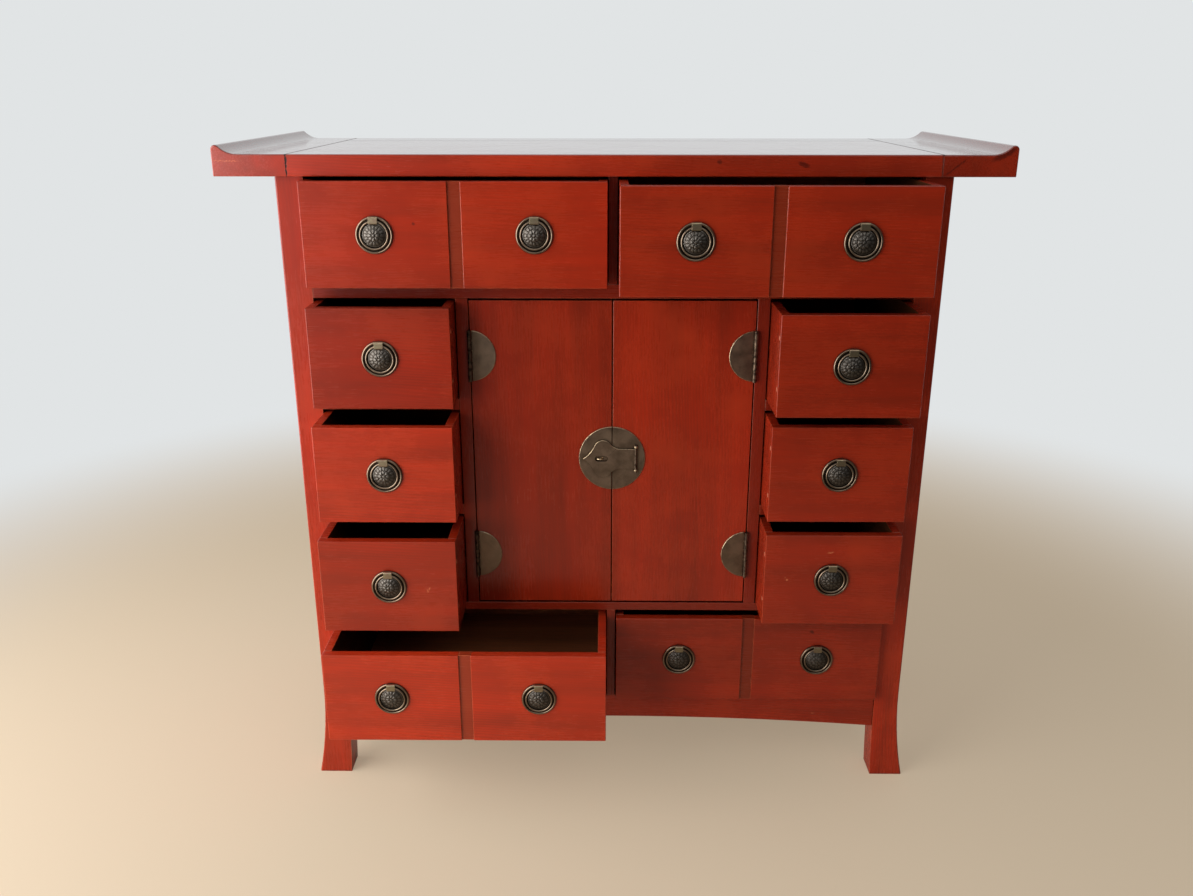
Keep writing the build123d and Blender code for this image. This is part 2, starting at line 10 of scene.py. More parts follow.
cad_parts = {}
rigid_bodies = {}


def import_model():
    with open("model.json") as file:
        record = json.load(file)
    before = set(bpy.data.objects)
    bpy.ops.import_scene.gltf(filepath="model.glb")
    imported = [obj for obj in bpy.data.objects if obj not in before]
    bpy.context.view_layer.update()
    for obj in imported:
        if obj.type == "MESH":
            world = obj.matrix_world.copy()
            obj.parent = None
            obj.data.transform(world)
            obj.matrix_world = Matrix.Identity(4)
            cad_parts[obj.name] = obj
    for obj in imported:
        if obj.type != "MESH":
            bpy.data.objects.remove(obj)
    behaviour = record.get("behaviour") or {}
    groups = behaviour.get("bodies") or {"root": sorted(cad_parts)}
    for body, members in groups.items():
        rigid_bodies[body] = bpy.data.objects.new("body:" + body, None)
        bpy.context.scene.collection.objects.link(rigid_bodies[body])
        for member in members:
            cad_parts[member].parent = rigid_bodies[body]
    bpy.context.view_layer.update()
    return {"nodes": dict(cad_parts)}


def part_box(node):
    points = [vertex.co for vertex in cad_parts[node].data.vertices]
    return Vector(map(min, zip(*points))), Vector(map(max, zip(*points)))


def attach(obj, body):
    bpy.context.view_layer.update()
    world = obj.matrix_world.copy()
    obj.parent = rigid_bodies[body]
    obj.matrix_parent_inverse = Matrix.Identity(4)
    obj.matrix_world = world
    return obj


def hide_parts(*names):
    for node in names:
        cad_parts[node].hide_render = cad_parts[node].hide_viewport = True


bl_info = {
    "name": "Red lacquer cabinet",
    "version": (1, 0, 0),
    "blender": (4, 5, 0),
    "location": "View3D > Sidebar > Cabinet",
    "description": "Finishes a low lacquered cabinet: wood, drawers, ring pulls, door brass and a studio",
    "category": "Object",
}

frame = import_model()
MM = 0.001
FULL_TURN = 2 * math.pi


# ---------------------------------------------------------------- settings
def srgb(code):
    """An sRGB hex colour as the linear colour that shaders take."""
    parts = [int(code[i:i + 2], 16) / 255 for i in (0, 2, 4)]
    return tuple(c / 12.92 if c <= 0.04045 else ((c + 0.055) / 1.055) ** 2.4 for c in parts)


def colour(name, description, code):
    """A colour to set, with an sRGB hex default."""
    return FloatVectorProperty(name=name, description=description, default=srgb(code), subtype="COLOR",
                               size=3, min=0, max=1)


def length(name, description, millimetres):
    """A length to set, with a default in millimetres."""
    return FloatProperty(name=name, description=description, default=millimetres * MM, min=0,
                         unit="LENGTH", subtype="DISTANCE", precision=4)


class LacquerSettings(bpy.types.PropertyGroup):
    """Colours and sizes of the lacquered wood"""
    red: colour("Red", "Body colour of the lacquer", "a8290f")
    deep: colour("Deep red", "Where the lacquer lies thick over dark growth rings", "78220f")
    bright: colour("Bright red", "Where it is rubbed thin over pale wood", "bb3a15")
    # the worn edge colour is the bared undercoat, and partly a painted highlight on the arrises
    worn: colour("Worn edge", "Pale undercoat on rubbed arrises", "c7704a")
    inside: colour("Inside", "Dark stain inside the drawers and the case", "8a5030")
    peg: colour("Peg", "End grain of the pegs in the drawer joints", "dfa381")
    browned: colour("Browned red", "Older, browner coat in the sunk strips", "863018")
    # frame red is partly the rails' own deeper red and partly painted shade where they lie behind the drawers
    frame: colour("Frame red", "Darker coat on the rails behind the drawers and on the top", "84200f")
    gap: colour("Open joint", "Shadow and dust in the shrunk joints of the top", "240c07")
    gap_width: length("Open joint width", "Width of the shrunk joints in the top", 3.0)
    ring_spacing: length("Growth rings", "Spacing of the growth rings seen through the lacquer", 5.0)
    arris: length("Arris", "How far the edges of the boards are eased", 0.9)


class BrassSettings(bpy.types.PropertyGroup):
    """Colours and sizes of the brass"""
    plate: colour("Plate", "Browned brass of the door plates", "97806c")
    patina: colour("Patina", "Dark patina in the hollows", "2e251e")
    clip: colour("Clip", "Olive brass of the clips", "a29578")
    # bare edge is worn brass, and partly a painted highlight on rims, knobs and the staple
    bare: colour("Bare edge", "Bare brass at the edges of the plates", "d3bb97")
    # rubbed brass is also laid on the plates' arrises, there partly as a painted highlight
    rubbed: colour("Rubbed", "Handled brass on rims and rings", "8c7c6a")
    boss: colour("Boss", "Dark pewter tone of the pull bosses", "7c766f")
    arris: length("Arris", "How far the sheet edges are eased", 0.9)
    knob: length("Knob", "Radius of the knobs on the hasp's pin", 2.9)
    knob_height: length("Knob height", "Height of the knobs above and below the middle of the hasp", 20.0)
    barrel: length("Barrel", "Radius of the hasp's barrel", 2.2)


class PullSettings(bpy.types.PropertyGroup):
    """Sizes of the ring pulls"""
    plate_radius: length("Plate radius", "Radius of a pull plate", 27.5)
    rim_height: length("Rim height", "Height of the raised rim", 3.4)
    rim_width: length("Rim width", "Width of the raised rim", 3.6)
    pan: length("Pan", "Thickness of the sunk part between rim and boss", 1.4)
    boss_radius: length("Boss radius", "Radius of the domed boss", 18.0)
    boss_height: length("Boss height", "Height of the boss", 7.5)
    relief: length("Relief", "Depth of the chased flower on the boss", 0.7)
    petals: IntProperty(name="Petals", description="Petals round the centre of the boss", default=8, min=3)
    ring_radius: length("Ring radius", "Radius of the ring at the middle of its wire", 20.2)
    ring_wire: length("Ring wire", "Radius of the ring's wire", 1.4)
    stand_off: length("Stand-off", "From the drawer front to the middle of the ring", 3.3)
    strap_width: length("Strap width", "Width of the clip that the ring hangs from", 13.5)
    strap_wall: length("Strap wall", "Thickness of the clip", 1.2)
    strap_reach: length("Strap reach", "From the ring's centre to the outer face of the clip", 4.01)
    strap_bend: length("Strap bend", "Radius of the clip's lower bend", 1.4)
    strap_fold: length("Strap fold", "Radius of the clip's bend over the rim", 2.2)


class DrawerSettings(bpy.types.PropertyGroup):
    """Sizes of the drawers"""
    front: length("Front", "Thickness of a drawer front", 15.0)
    side: length("Side", "Thickness of a drawer side", 13.0)
    back: length("Back", "Thickness of a drawer back", 12.0)
    back_drop: length("Back drop", "How far the back stands below the sides", 8.0)
    bottom: length("Bottom", "Thickness of a drawer bottom", 5.0)
    raised: length("Raised", "Height of the bottom above the lower edge", 8.0)
    strip_in: length("Strip, inner edge", "From the middle of the cabinet to the sunk strip", 222.0)
    strip_out: length("Strip, outer edge", "From the middle of the cabinet past the sunk strip", 241.0)
    strip_recess: length("Strip recess", "How deep the strip is sunk", 2.5)
    front_arris: length("Front arris", "How far the edges of a front are eased", 1.1)
    box_arris: length("Box arris", "How far the edges of the sides and the back are eased", 0.9)
    peg_radius: length("Peg radius", "Radius of the pegs in the drawer joints", 3.8)


class StudioSettings(bpy.types.PropertyGroup):
    """Floor, backdrop and light"""
    floor: colour("Floor", "Plain pale floor", "e3cfb3")
    air: colour("Backdrop", "Plain pale backdrop", "e1e4e5")
    key: FloatProperty(name="Window lamp", description="Soft lamp at the left", default=64.0, min=0,
                       unit="POWER")
    fill: FloatProperty(name="Fill lamp", description="Soft lamp above the camera", default=10.0, min=0,
                        unit="POWER")
    sky: FloatProperty(name="Ambient", description="Strength of the surrounding light", default=0.36, min=0)
    room: FloatProperty(name="Room", default=0.03, min=0, max=1,
                        description="Brightness in front of the cabinet, as a share of that behind it")
    window: FloatProperty(name="Window side", default=0.36, min=0, max=1,
                          description="The same at the left, where the window is")


GROUPS = {
    "cabinet_lacquer": LacquerSettings,
    "cabinet_brass": BrassSettings,
    "cabinet_pulls": PullSettings,
    "cabinet_drawers": DrawerSettings,
    "cabinet_studio": StudioSettings,
}


def settings(group):
    """The scene's own values of a group of settings."""
    return getattr(bpy.context.scene, "cabinet_" + group)


# ---------------------------------------------------------------- tables
# How a coat of lacquer is laid: its colour and the one where it is thin, the weight, IOR and roughness
# of the clear film on it, the specular level under that, the depth of the grain in it, and how far the
# open joints in it wander, as a share of their width. Without that it has no joints.
Coat = namedtuple("Coat", "body thin clear ior rough specular grain wander",
                  defaults=(0.12, 1.5, 0.14, 0.36, 0.18, None))
COATS = {
    "brushed": Coat("red", "bright"),
    "browned": Coat("browned", "browned"),
    "shaded": Coat("frame", "frame"),
    "jointed": Coat("red", "bright", clear=0.2, specular=0.5, wander=3),
    "polished": Coat("frame", "frame", clear=0.9, ior=1.6, rough=0.08, specular=0.5, grain=0.03, wander=0.4),
}

# how much paler the coat of a piece is than the rest: partly its own tone, partly painted light and shade
# where one piece catches the light unlike the next
PIECE_TONE_AND_LIGHT = {
    "top_front_board": 0.3, "top_end_left": 0.15, "front_post_left": 0.12, "front_post_right": 0.3,
    "door_left": -0.1, "drawer_top_left": 0.12, "drawer_left_upper": -0.12, "drawer_left_middle": 0.25,
    "drawer_bottom_left": 0.4, "drawer_right_upper": -0.1,
}

# Marks on the fronts: x, y and z of the middle, half of the width and half of the height in millimetres, and
# the turn in degrees. A chip bares the undercoat, and a dark mark darkens the film.
CHIPS = (
    (-288.9, -260.3, 410.6, 0.8, 3.6, -25),
    (-286.0, -260.3, 414.8, 0.8, 2.6, 30),
    (279.4, -230.3, 417.6, 1.5, 1.5, 20),
    (275.9, -230.3, 421.5, 0.8, 1.3, 0),
    (345.3, -230.3, 465.4, 5.5, 0.8, -12),
    (352.5, -155.8, 123.8, 2.2, 1.1, 10),
    (-564.0, -171.8, 1058.5, 21.0, 0.45, 0),
)
DARK_MARKS = (
    (338.8, -169.2, 290.8, 4.0, 3.0, 30),
    (154.0, -171.8, 1057.7, 3.5, 3.0, 0),
    (276.0, -171.8, 1054.0, 9.0, 3.5, 20),
    (565.0, -171.8, 1069.0, 19.0, 5.0, -28),
    (496.0, -171.8, 1050.5, 22.0, 0.9, -38),
    (-291.9, -195.8, 971.6, 2.5, 2.5, 0),
)
MARK_DEPTH = 9  # half of a mark's size from front to back, in millimetres
MARK_WANDER = 4  # how far the edge of a mark wanders, in millimetres

# Rings of the chased flower, from the middle of the boss outwards: inner and outer edge as shares of its
# radius, height and power of the swelling across, and the lobes for each petal with the power of theirs.
FLOWER = (
    (0.16, 0.52, 1.0, 0.6, 0.5, 0.6),
    (0.52, 0.86, 0.85, 0.6, 1.0, 0.7),
    (0.89, 0.99, 0.9, 0.7, 0.0, 1.0),
)
BEAD = 0.13  # radius of the bead in the middle of the flower, as a share of the boss's


# ---------------------------------------------------------------- materials
# sockets of a Mix node for colours: how much of the second colour, the two colours, and the result
SHARE, UNDER, OVER, MIXED = 0, 6, 7, 2


def add(tree, kind, inputs=None, **properties):
    """One node with its properties set and its inputs given values or linked."""
    node = tree.nodes.new(kind)
    for name, value in properties.items():
        setattr(node, name, value)
    for key, value in (inputs or {}).items():
        if isinstance(value, bpy.types.NodeSocket):
            tree.links.new(value, node.inputs[key])
        else:
            node.inputs[key].default_value = value
    return node


def start(name):
    """A new material with its tree and its shader."""
    made = bpy.data.materials.new(name)
    made.use_nodes = True
    return made, made.node_tree, made.node_tree.nodes["Principled BSDF"]


def opaque(rgb):
    """A colour with the alpha that a colour socket takes."""
    return (*rgb, 1.0)


def shade(rgb, share):
    """A colour made darker, or paler by a share over 1."""
    return [min(1.0, share * c) for c in rgb]


def per(width, unit=MM):
    """Scale of a pattern, to three figures, from the width of its grains in millimetres.

    The pattern's coordinates are in metres, or with a unit of 1 in millimetres.
    """
    return float(f"{1 / (width * unit):.3g}")


def stretched(tree, grain, stretch):
    """Object coordinates in metres, and in millimetres drawn out along the grain."""
    scale = [1 / MM] * 3
    scale["XYZ".index(grain)] /= stretch
    place = add(tree, "ShaderNodeTexCoord").outputs["Object"]
    return place, add(tree, "ShaderNodeMapping", {"Vector": place, "Scale": scale}).outputs["Vector"]


def surface(tree, shader, tint, rough, height, strength, depth):
    """Gives a shader its colour and roughness, and the relief of a height with a depth in millimetres."""
    tree.links.new(tint, shader.inputs["Base Color"])
    tree.links.new(rough, shader.inputs["Roughness"])
    relief = add(tree, "ShaderNodeBump", {"Height": height, "Strength": strength, "Distance": depth * MM})
    tree.links.new(relief.outputs["Normal"], shader.inputs["Normal"])


def worn_edge(tree, radius, flat, turned, most=1.0):
    """0 on flats, up to most on arrises: there a normal rounded over that radius leaves the true one. It
    masks both wear and a painted highlight.

    The two normals' product is over flat on the flats, and under turned on a full arris.
    """
    soft = add(tree, "ShaderNodeBevel", {"Radius": radius}, samples=4).outputs["Normal"]
    true = add(tree, "ShaderNodeNewGeometry").outputs["Normal"]
    same = add(tree, "ShaderNodeVectorMath", {0: soft, 1: true}, operation="DOT_PRODUCT").outputs["Value"]
    return add(tree, "ShaderNodeMapRange", {"Value": same, "From Min": flat, "From Max": turned,
                                            "To Max": most}).outputs[0]


def out_of_corners(tree, reach, shut, clear, least=0.0):
    """1 in the open, down to least in corners, where less of the air within reach is free: the mask of
    painted shade.
    """
    free = add(tree, "ShaderNodeAmbientOcclusion", {"Distance": reach}, samples=4).outputs["AO"]
    return add(tree, "ShaderNodeMapRange", {"Value": free, "From Min": shut, "From Max": clear,
                                            "To Min": least}).outputs[0]


def marked(tree, place, marks):
    """1 inside marks with ragged edges."""
    ragged = add(tree, "ShaderNodeTexNoise", {"Vector": place, "Scale": per(3.333),
                                              "Detail": 2.0}).outputs["Color"]
    ragged = add(tree, "ShaderNodeVectorMath", {0: ragged, 1: (0.5, 0.5, 0.5)},
                 operation="SUBTRACT").outputs["Vector"]
    moved = add(tree, "ShaderNodeVectorMath", {0: ragged, 1: (MARK_WANDER * MM,) * 3, 2: place},
                operation="MULTIPLY_ADD").outputs["Vector"]
    found = 0.0
    for x, y, z, width, height, turn in marks:
        inside = add(tree, "ShaderNodeMapping", {
            "Vector": moved,
            "Location": Vector((x, y, z)) * MM,
            "Rotation": (0, math.radians(turn), 0),
            "Scale": Vector((width, MARK_DEPTH, height)) * MM,
        }, vector_type="TEXTURE").outputs["Vector"]
        inside = add(tree, "ShaderNodeVectorMath", {0: inside}, operation="LENGTH").outputs["Value"]
        inside = add(tree, "ShaderNodeMapRange", {"Value": inside, "From Min": 0.7, "From Max": 1.2,
                                                  "To Min": 1.0, "To Max": 0.0}).outputs[0]
        found = add(tree, "ShaderNodeMath", {0: inside, 1: found}, operation="MAXIMUM").outputs[0]
    return found


def open_joints(tree, place, wander):
    """1 in the shrunk joints where the ends and the back board of the top meet its wide board.

    Their edges wander by that share of their width.
    """
    width = settings("lacquer").gap_width
    wander *= width
    end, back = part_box("top_end_right")[0].x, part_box("top_back_board")[0].y
    axes = add(tree, "ShaderNodeSeparateXYZ", {"Vector": place}).outputs
    # from the two joints at the ends, which run from front to back
    aside = add(tree, "ShaderNodeMath", {0: axes["X"]}, operation="ABSOLUTE").outputs[0]
    past = add(tree, "ShaderNodeMath", {0: aside, 1: end}, operation="SUBTRACT").outputs[0]
    beyond = add(tree, "ShaderNodeMath", {0: past, 1: 0.0}, operation="MAXIMUM").outputs[0]
    past = add(tree, "ShaderNodeMath", {0: past}, operation="ABSOLUTE").outputs[0]
    # from the joint in front of the back board, which stops at the ends
    behind = add(tree, "ShaderNodeMath", {0: axes["Y"], 1: back}, operation="SUBTRACT").outputs[0]
    behind = add(tree, "ShaderNodeMath", {0: behind}, operation="ABSOLUTE").outputs[0]
    behind = add(tree, "ShaderNodeMath", {0: behind, 1: beyond}, operation="ADD").outputs[0]
    near = add(tree, "ShaderNodeMath", {0: past, 1: behind}, operation="MINIMUM").outputs[0]
    ragged = add(tree, "ShaderNodeTexNoise", {"Vector": place, "Scale": per(4.545),
                                              "Detail": 4.0}).outputs["Fac"]
    near = add(tree, "ShaderNodeMath", {0: ragged, 1: wander, 2: near}, operation="MULTIPLY_ADD").outputs[0]
    return add(tree, "ShaderNodeMapRange", {"Value": near, "From Min": 0.5 * wander + 0.35 * width,
                                            "From Max": 0.5 * wander + 0.6 * width,
                                            "To Min": 1.0, "To Max": 0.0}).outputs[0]


def elm_figure(tree, place, along):
    """Figure of sawn elm under a film, from 0 where it is dark to 1, its fibres, and the grain's relief."""
    spacing = settings("lacquer").ring_spacing / MM
    # growth rings: the wave repeats every 0.628 / scale, and slow noise bends it into flat-sawn figure
    rings = add(tree, "ShaderNodeTexWave", {"Vector": along, "Scale": 0.628 / spacing, "Distortion": 16.0,
                                            "Detail": 2.0, "Detail Scale": 0.13, "Detail Roughness": 0.5},
                wave_type="BANDS", bands_direction="DIAGONAL").outputs["Fac"]
    # they show only where the film is thin, in patches of 200 mm
    shown = add(tree, "ShaderNodeTexNoise", {"Vector": place, "Scale": per(200),
                                             "Detail": 1.0}).outputs["Fac"]
    shown = add(tree, "ShaderNodeMapRange", {"Value": shown, "From Min": 0.48, "From Max": 0.7,
                                             "To Min": 0.03, "To Max": 0.18}).outputs[0]
    rings = add(tree, "ShaderNodeMath", {0: rings, 1: shown}, operation="MULTIPLY").outputs[0]
    # fibres are finer than a millimetre, and drawn coarser than they are so that they show
    fibres = add(tree, "ShaderNodeTexNoise", {"Vector": along, "Scale": per(1.667, unit=1), "Detail": 4.0,
                                              "Roughness": 0.6}).outputs["Fac"]
    # paler and darker bands of heartwood, about 30 mm wide
    bands = add(tree, "ShaderNodeTexNoise", {"Vector": along, "Scale": per(28.57, unit=1), "Detail": 3.0,
                                             "Roughness": 0.55}).outputs["Fac"]
    figure = add(tree, "ShaderNodeMath", {0: fibres, 1: 0.24, 2: rings}, operation="MULTIPLY_ADD").outputs[0]
    figure = add(tree, "ShaderNodeMath", {0: bands, 1: 0.7, 2: figure}, operation="MULTIPLY_ADD").outputs[0]
    figure = add(tree, "ShaderNodeMapRange", {"Value": figure, "From Min": 0.24, "From Max": 0.76}).outputs[0]
    relief = add(tree, "ShaderNodeMath", {0: rings, 1: fibres}, operation="ADD").outputs[0]
    return figure, fibres, relief


def red_lacquer(grain, coat="brushed"):
    """Red lacquer over elm: a semi-gloss film, with faint growth rings in it, that is rubbed at the arrises.

    A polished coat is thicker and mirrors at low angles, a browned one is older and darker, a shaded one is
    darker, partly its own deeper red and partly painted shade behind the drawers, and a jointed one is open
    where the boards of the top have shrunk.
    """
    name = coat + "_red_lacquer_on_elm_" + grain
    if name in bpy.data.materials:
        return bpy.data.materials[name]
    tone, laid = settings("lacquer"), COATS[coat]
    made, tree, shader = start(name)
    place, along = stretched(tree, grain, stretch=16)
    figure, fibres, relief = elm_figure(tree, place, along)
    clouds = add(tree, "ShaderNodeTexNoise", {"Vector": place, "Scale": per(111.1), "Detail": 5.0,
                                              "Roughness": 0.6}).outputs["Fac"]
    film = add(tree, "ShaderNodeMix", {SHARE: figure, UNDER: opaque(tone.deep),
                                       OVER: opaque(getattr(tone, laid.body))},
               data_type="RGBA").outputs[MIXED]
    thin = add(tree, "ShaderNodeMapRange", {"Value": clouds, "From Min": 0.44, "From Max": 0.75,
                                            "To Max": 0.35}).outputs[0]
    film = add(tree, "ShaderNodeMix", {SHARE: thin, UNDER: film, OVER: opaque(getattr(tone, laid.thin))},
               data_type="RGBA").outputs[MIXED]
    # rubbed arrises, broken up along the edge: worn undercoat, and partly a painted highlight
    edge = worn_edge(tree, radius=1.5 * MM, flat=0.985, turned=0.86)
    patchy = add(tree, "ShaderNodeTexNoise", {"Vector": place, "Scale": per(16.67), "Detail": 4.0,
                                              "Roughness": 0.7}).outputs["Fac"]
    patchy = add(tree, "ShaderNodeMapRange", {"Value": patchy, "From Min": 0.4, "From Max": 0.66,
                                              "To Min": 0.35, "To Max": 0.95}).outputs[0]
    rubbed = add(tree, "ShaderNodeMath", {0: edge, 1: patchy}, operation="MULTIPLY").outputs[0]
    if grain != "Z" and coat in ("brushed", "jointed"):
        rubbed = add(tree, "ShaderNodeMath", {0: marked(tree, place, CHIPS), 1: rubbed},
                     operation="MAXIMUM").outputs[0]
        darkened = add(tree, "ShaderNodeMath", {0: marked(tree, place, DARK_MARKS), 1: 0.6},
                      operation="MULTIPLY").outputs[0]
        film = add(tree, "ShaderNodeMix", {SHARE: darkened, UNDER: film, OVER: opaque(tone.gap)},
                   data_type="RGBA").outputs[MIXED]
    film = add(tree, "ShaderNodeMix", {SHARE: rubbed, UNDER: film, OVER: opaque(tone.worn)},
               data_type="RGBA").outputs[MIXED]
    # painted shade in the corners, and a coat that is paler or deeper on one piece than on the next, partly
    # its own tone and partly painted light and shade
    unshaded = out_of_corners(tree, reach=7 * MM, shut=0.25, clear=0.8, least=0.25)
    lift = add(tree, "ShaderNodeAttribute", attribute_name="lift").outputs["Fac"]
    gain = add(tree, "ShaderNodeMath", {0: unshaded, 1: lift, 2: unshaded}, operation="MULTIPLY_ADD").outputs[0]
    film = add(tree, "ShaderNodeMix", {SHARE: 1.0, UNDER: film, OVER: gain}, data_type="RGBA",
               blend_type="MULTIPLY").outputs[MIXED]
    rough = add(tree, "ShaderNodeMath", {0: clouds, 1: 0.12, 2: 0.17}, operation="MULTIPLY_ADD").outputs[0]
    rough = add(tree, "ShaderNodeMath", {0: fibres, 1: 0.08, 2: rough}, operation="MULTIPLY_ADD").outputs[0]
    if laid.wander:
        gap = open_joints(tree, place, laid.wander)
        if coat == "jointed":
            # on the edges of the top the joints are tighter at the right
            right = add(tree, "ShaderNodeSeparateXYZ", {"Vector": place}).outputs["X"]
            right = add(tree, "ShaderNodeMapRange", {"Value": right, "From Min": -0.2, "From Max": 0.2,
                                                     "To Min": 1.0, "To Max": 0.35}).outputs[0]
            gap = add(tree, "ShaderNodeMath", {0: gap, 1: right}, operation="MULTIPLY").outputs[0]
        film = add(tree, "ShaderNodeMix", {SHARE: gap, UNDER: film, OVER: opaque(tone.gap)},
                   data_type="RGBA").outputs[MIXED]
        rough = add(tree, "ShaderNodeMath", {0: gap, 1: 0.5, 2: rough}, operation="MULTIPLY_ADD").outputs[0]
        whole = add(tree, "ShaderNodeMapRange", {"Value": gap, "To Min": laid.clear,
                                                 "To Max": 0.0}).outputs[0]
        tree.links.new(whole, shader.inputs["Coat Weight"])
    else:
        shader.inputs["Coat Weight"].default_value = laid.clear
    shader.inputs["Coat IOR"].default_value = laid.ior
    shader.inputs["Coat Roughness"].default_value = laid.rough
    shader.inputs["Specular IOR Level"].default_value = laid.specular
    surface(tree, shader, film, rough, relief, strength=laid.grain, depth=0.25)
    return made


def stained_wood(grain, strength=1.0):
    """Softwood under a thin dark stain: matt, with the grain and the saw's tone still in it.

    A strength under 1 is a blacker stain that also takes the sheen off: a painted shade inside the drawers.
    """
    name = ("dark" if strength == 1.0 else "black") + "_stained_softwood_" + grain
    if name in bpy.data.materials:
        return bpy.data.materials[name]
    made, tree, shader = start(name)
    along = stretched(tree, grain, stretch=18)[1]
    # fibres and bands are drawn coarser than they are so that they show through the stain
    fibres = add(tree, "ShaderNodeTexNoise", {"Vector": along, "Scale": per(2.222, unit=1), "Detail": 5.0,
                                              "Roughness": 0.6}).outputs["Fac"]
    bands = add(tree, "ShaderNodeTexNoise", {"Vector": along, "Scale": per(33.33, unit=1),
                                             "Detail": 2.0}).outputs["Fac"]
    figure = add(tree, "ShaderNodeMath", {0: bands, 1: 1.2, 2: fibres}, operation="MULTIPLY_ADD").outputs[0]
    figure = add(tree, "ShaderNodeMapRange", {"Value": figure, "From Min": 0.8, "From Max": 1.4}).outputs[0]
    deep = shade(settings("lacquer").inside, strength)
    stain = add(tree, "ShaderNodeMix", {SHARE: figure, UNDER: opaque(deep), OVER: opaque(shade(deep, 1.7))},
                data_type="RGBA").outputs[MIXED]
    rough = add(tree, "ShaderNodeMapRange", {"Value": fibres, "To Min": 0.5, "To Max": 0.72}).outputs[0]
    shader.inputs["Specular IOR Level"].default_value = 0.2 * strength
    surface(tree, shader, stain, rough, fibres, strength=0.35, depth=0.3)
    return made


def peg_wood():
    """Bamboo pegs rubbed bare at the end: small pale spots with old lacquer left on them."""
    name = "bamboo_peg_end"
    if name in bpy.data.materials:
        return bpy.data.materials[name]
    tone = settings("lacquer")
    made, tree, shader = start(name)
    place = add(tree, "ShaderNodeTexCoord").outputs["Object"]
    rubbed = add(tree, "ShaderNodeTexNoise", {"Vector": place, "Scale": per(2.381),
                                              "Detail": 3.0}).outputs["Fac"]
    rubbed = add(tree, "ShaderNodeMapRange", {"Value": rubbed, "From Min": 0.4, "From Max": 0.6}).outputs[0]
    tint = add(tree, "ShaderNodeMix", {SHARE: rubbed, UNDER: opaque(tone.red), OVER: opaque(tone.peg)},
               data_type="RGBA").outputs[MIXED]
    tree.links.new(tint, shader.inputs["Base Color"])
    shader.inputs["Roughness"].default_value = 0.5
    return made


def browned_brass():
    """Rolled brass sheet, browned with a wax patina: olive brown, mottled, rubbed bright at its edges, partly
    as a painted highlight, and darker in its corners, partly as painted shade.
    """
    name = "browned_brass_sheet"
    if name in bpy.data.materials:
        return bpy.data.materials[name]
    tone = settings("brass")
    made, tree, shader = start(name)
    place = add(tree, "ShaderNodeTexCoord").outputs["Object"]
    mottle = add(tree, "ShaderNodeTexNoise", {"Vector": place, "Scale": per(18.18), "Detail": 5.0,
                                              "Roughness": 0.65}).outputs["Fac"]
    paler = add(tree, "ShaderNodeMapRange", {"Value": mottle, "From Min": 0.3, "From Max": 0.62}).outputs[0]
    metal = add(tree, "ShaderNodeMix", {SHARE: paler, UNDER: opaque(shade(tone.plate, 0.62)),
                                        OVER: opaque(tone.plate)}, data_type="RGBA").outputs[MIXED]
    edge = worn_edge(tree, radius=0.8 * MM, flat=0.98, turned=0.8, most=0.7)
    # rubbed brass on the arrises: wear, and partly a painted highlight
    metal = add(tree, "ShaderNodeMix", {SHARE: edge, UNDER: metal, OVER: opaque(tone.rubbed)},
                data_type="RGBA").outputs[MIXED]
    # the patina of the hollows, darkened further into the corners and round the hasp's outline as painted
    # shade
    unshaded = out_of_corners(tree, reach=5 * MM, shut=0.35, clear=0.85)
    metal = add(tree, "ShaderNodeMix", {SHARE: unshaded, UNDER: opaque(tone.patina), OVER: metal},
                data_type="RGBA").outputs[MIXED]
    shader.inputs["Metallic"].default_value = 1.0
    rough = add(tree, "ShaderNodeMath", {0: mottle, 1: 0.25, 2: 0.3}, operation="MULTIPLY_ADD").outputs[0]
    # the skin left by the rolls, drawn at a millimetre so that it shows
    skin = add(tree, "ShaderNodeTexNoise", {"Vector": place, "Scale": per(1.111),
                                            "Detail": 2.0}).outputs["Fac"]
    surface(tree, shader, metal, rough, skin, strength=0.25, depth=0.06)
    return made


def chased_metal():
    """Cast and chased pull plate: dark in the hollows, pewter on the petals, brassy on the rubbed rim."""
    name = "chased_dark_bronze"
    if name in bpy.data.materials:
        return bpy.data.materials[name]
    tone = settings("brass")
    made, tree, shader = start(name)
    place = add(tree, "ShaderNodeTexCoord").outputs["Object"]
    raised = add(tree, "ShaderNodeAttribute", attribute_name="raised").outputs["Fac"]
    rim = add(tree, "ShaderNodeAttribute", attribute_name="rim").outputs["Fac"]
    speckle = add(tree, "ShaderNodeTexNoise", {"Vector": place, "Scale": per(2), "Detail": 4.0,
                                               "Roughness": 0.7}).outputs["Fac"]
    high = add(tree, "ShaderNodeMath", {0: speckle, 1: 1.1, 2: -0.6}, operation="MULTIPLY_ADD").outputs[0]
    high = add(tree, "ShaderNodeMath", {0: raised, 1: high}, operation="ADD", use_clamp=True).outputs[0]
    tint = add(tree, "ShaderNodeMix", {SHARE: rim, UNDER: opaque(tone.boss), OVER: opaque(tone.plate)},
               data_type="RGBA").outputs[MIXED]
    metal = add(tree, "ShaderNodeMix", {SHARE: high, UNDER: opaque(tone.patina), OVER: tint},
                data_type="RGBA").outputs[MIXED]
    shader.inputs["Metallic"].default_value = 1.0
    rough = add(tree, "ShaderNodeMapRange", {"Value": high, "To Min": 0.5, "To Max": 0.28}).outputs[0]
    # punch marks a millimetre and a half across, inside the rim
    punched = add(tree, "ShaderNodeTexVoronoi", {"Vector": place, "Scale": per(1.613)}).outputs["Distance"]
    punched = add(tree, "ShaderNodeMapRange", {"Value": punched, "From Max": 0.7}).outputs[0]
    inner = add(tree, "ShaderNodeMath", {0: 1.0, 1: rim}, operation="SUBTRACT", use_clamp=True).outputs[0]
    punched = add(tree, "ShaderNodeMath", {0: punched, 1: inner}, operation="MULTIPLY").outputs[0]
    surface(tree, shader, metal, rough, punched, strength=0.8, depth=0.35)
    return made


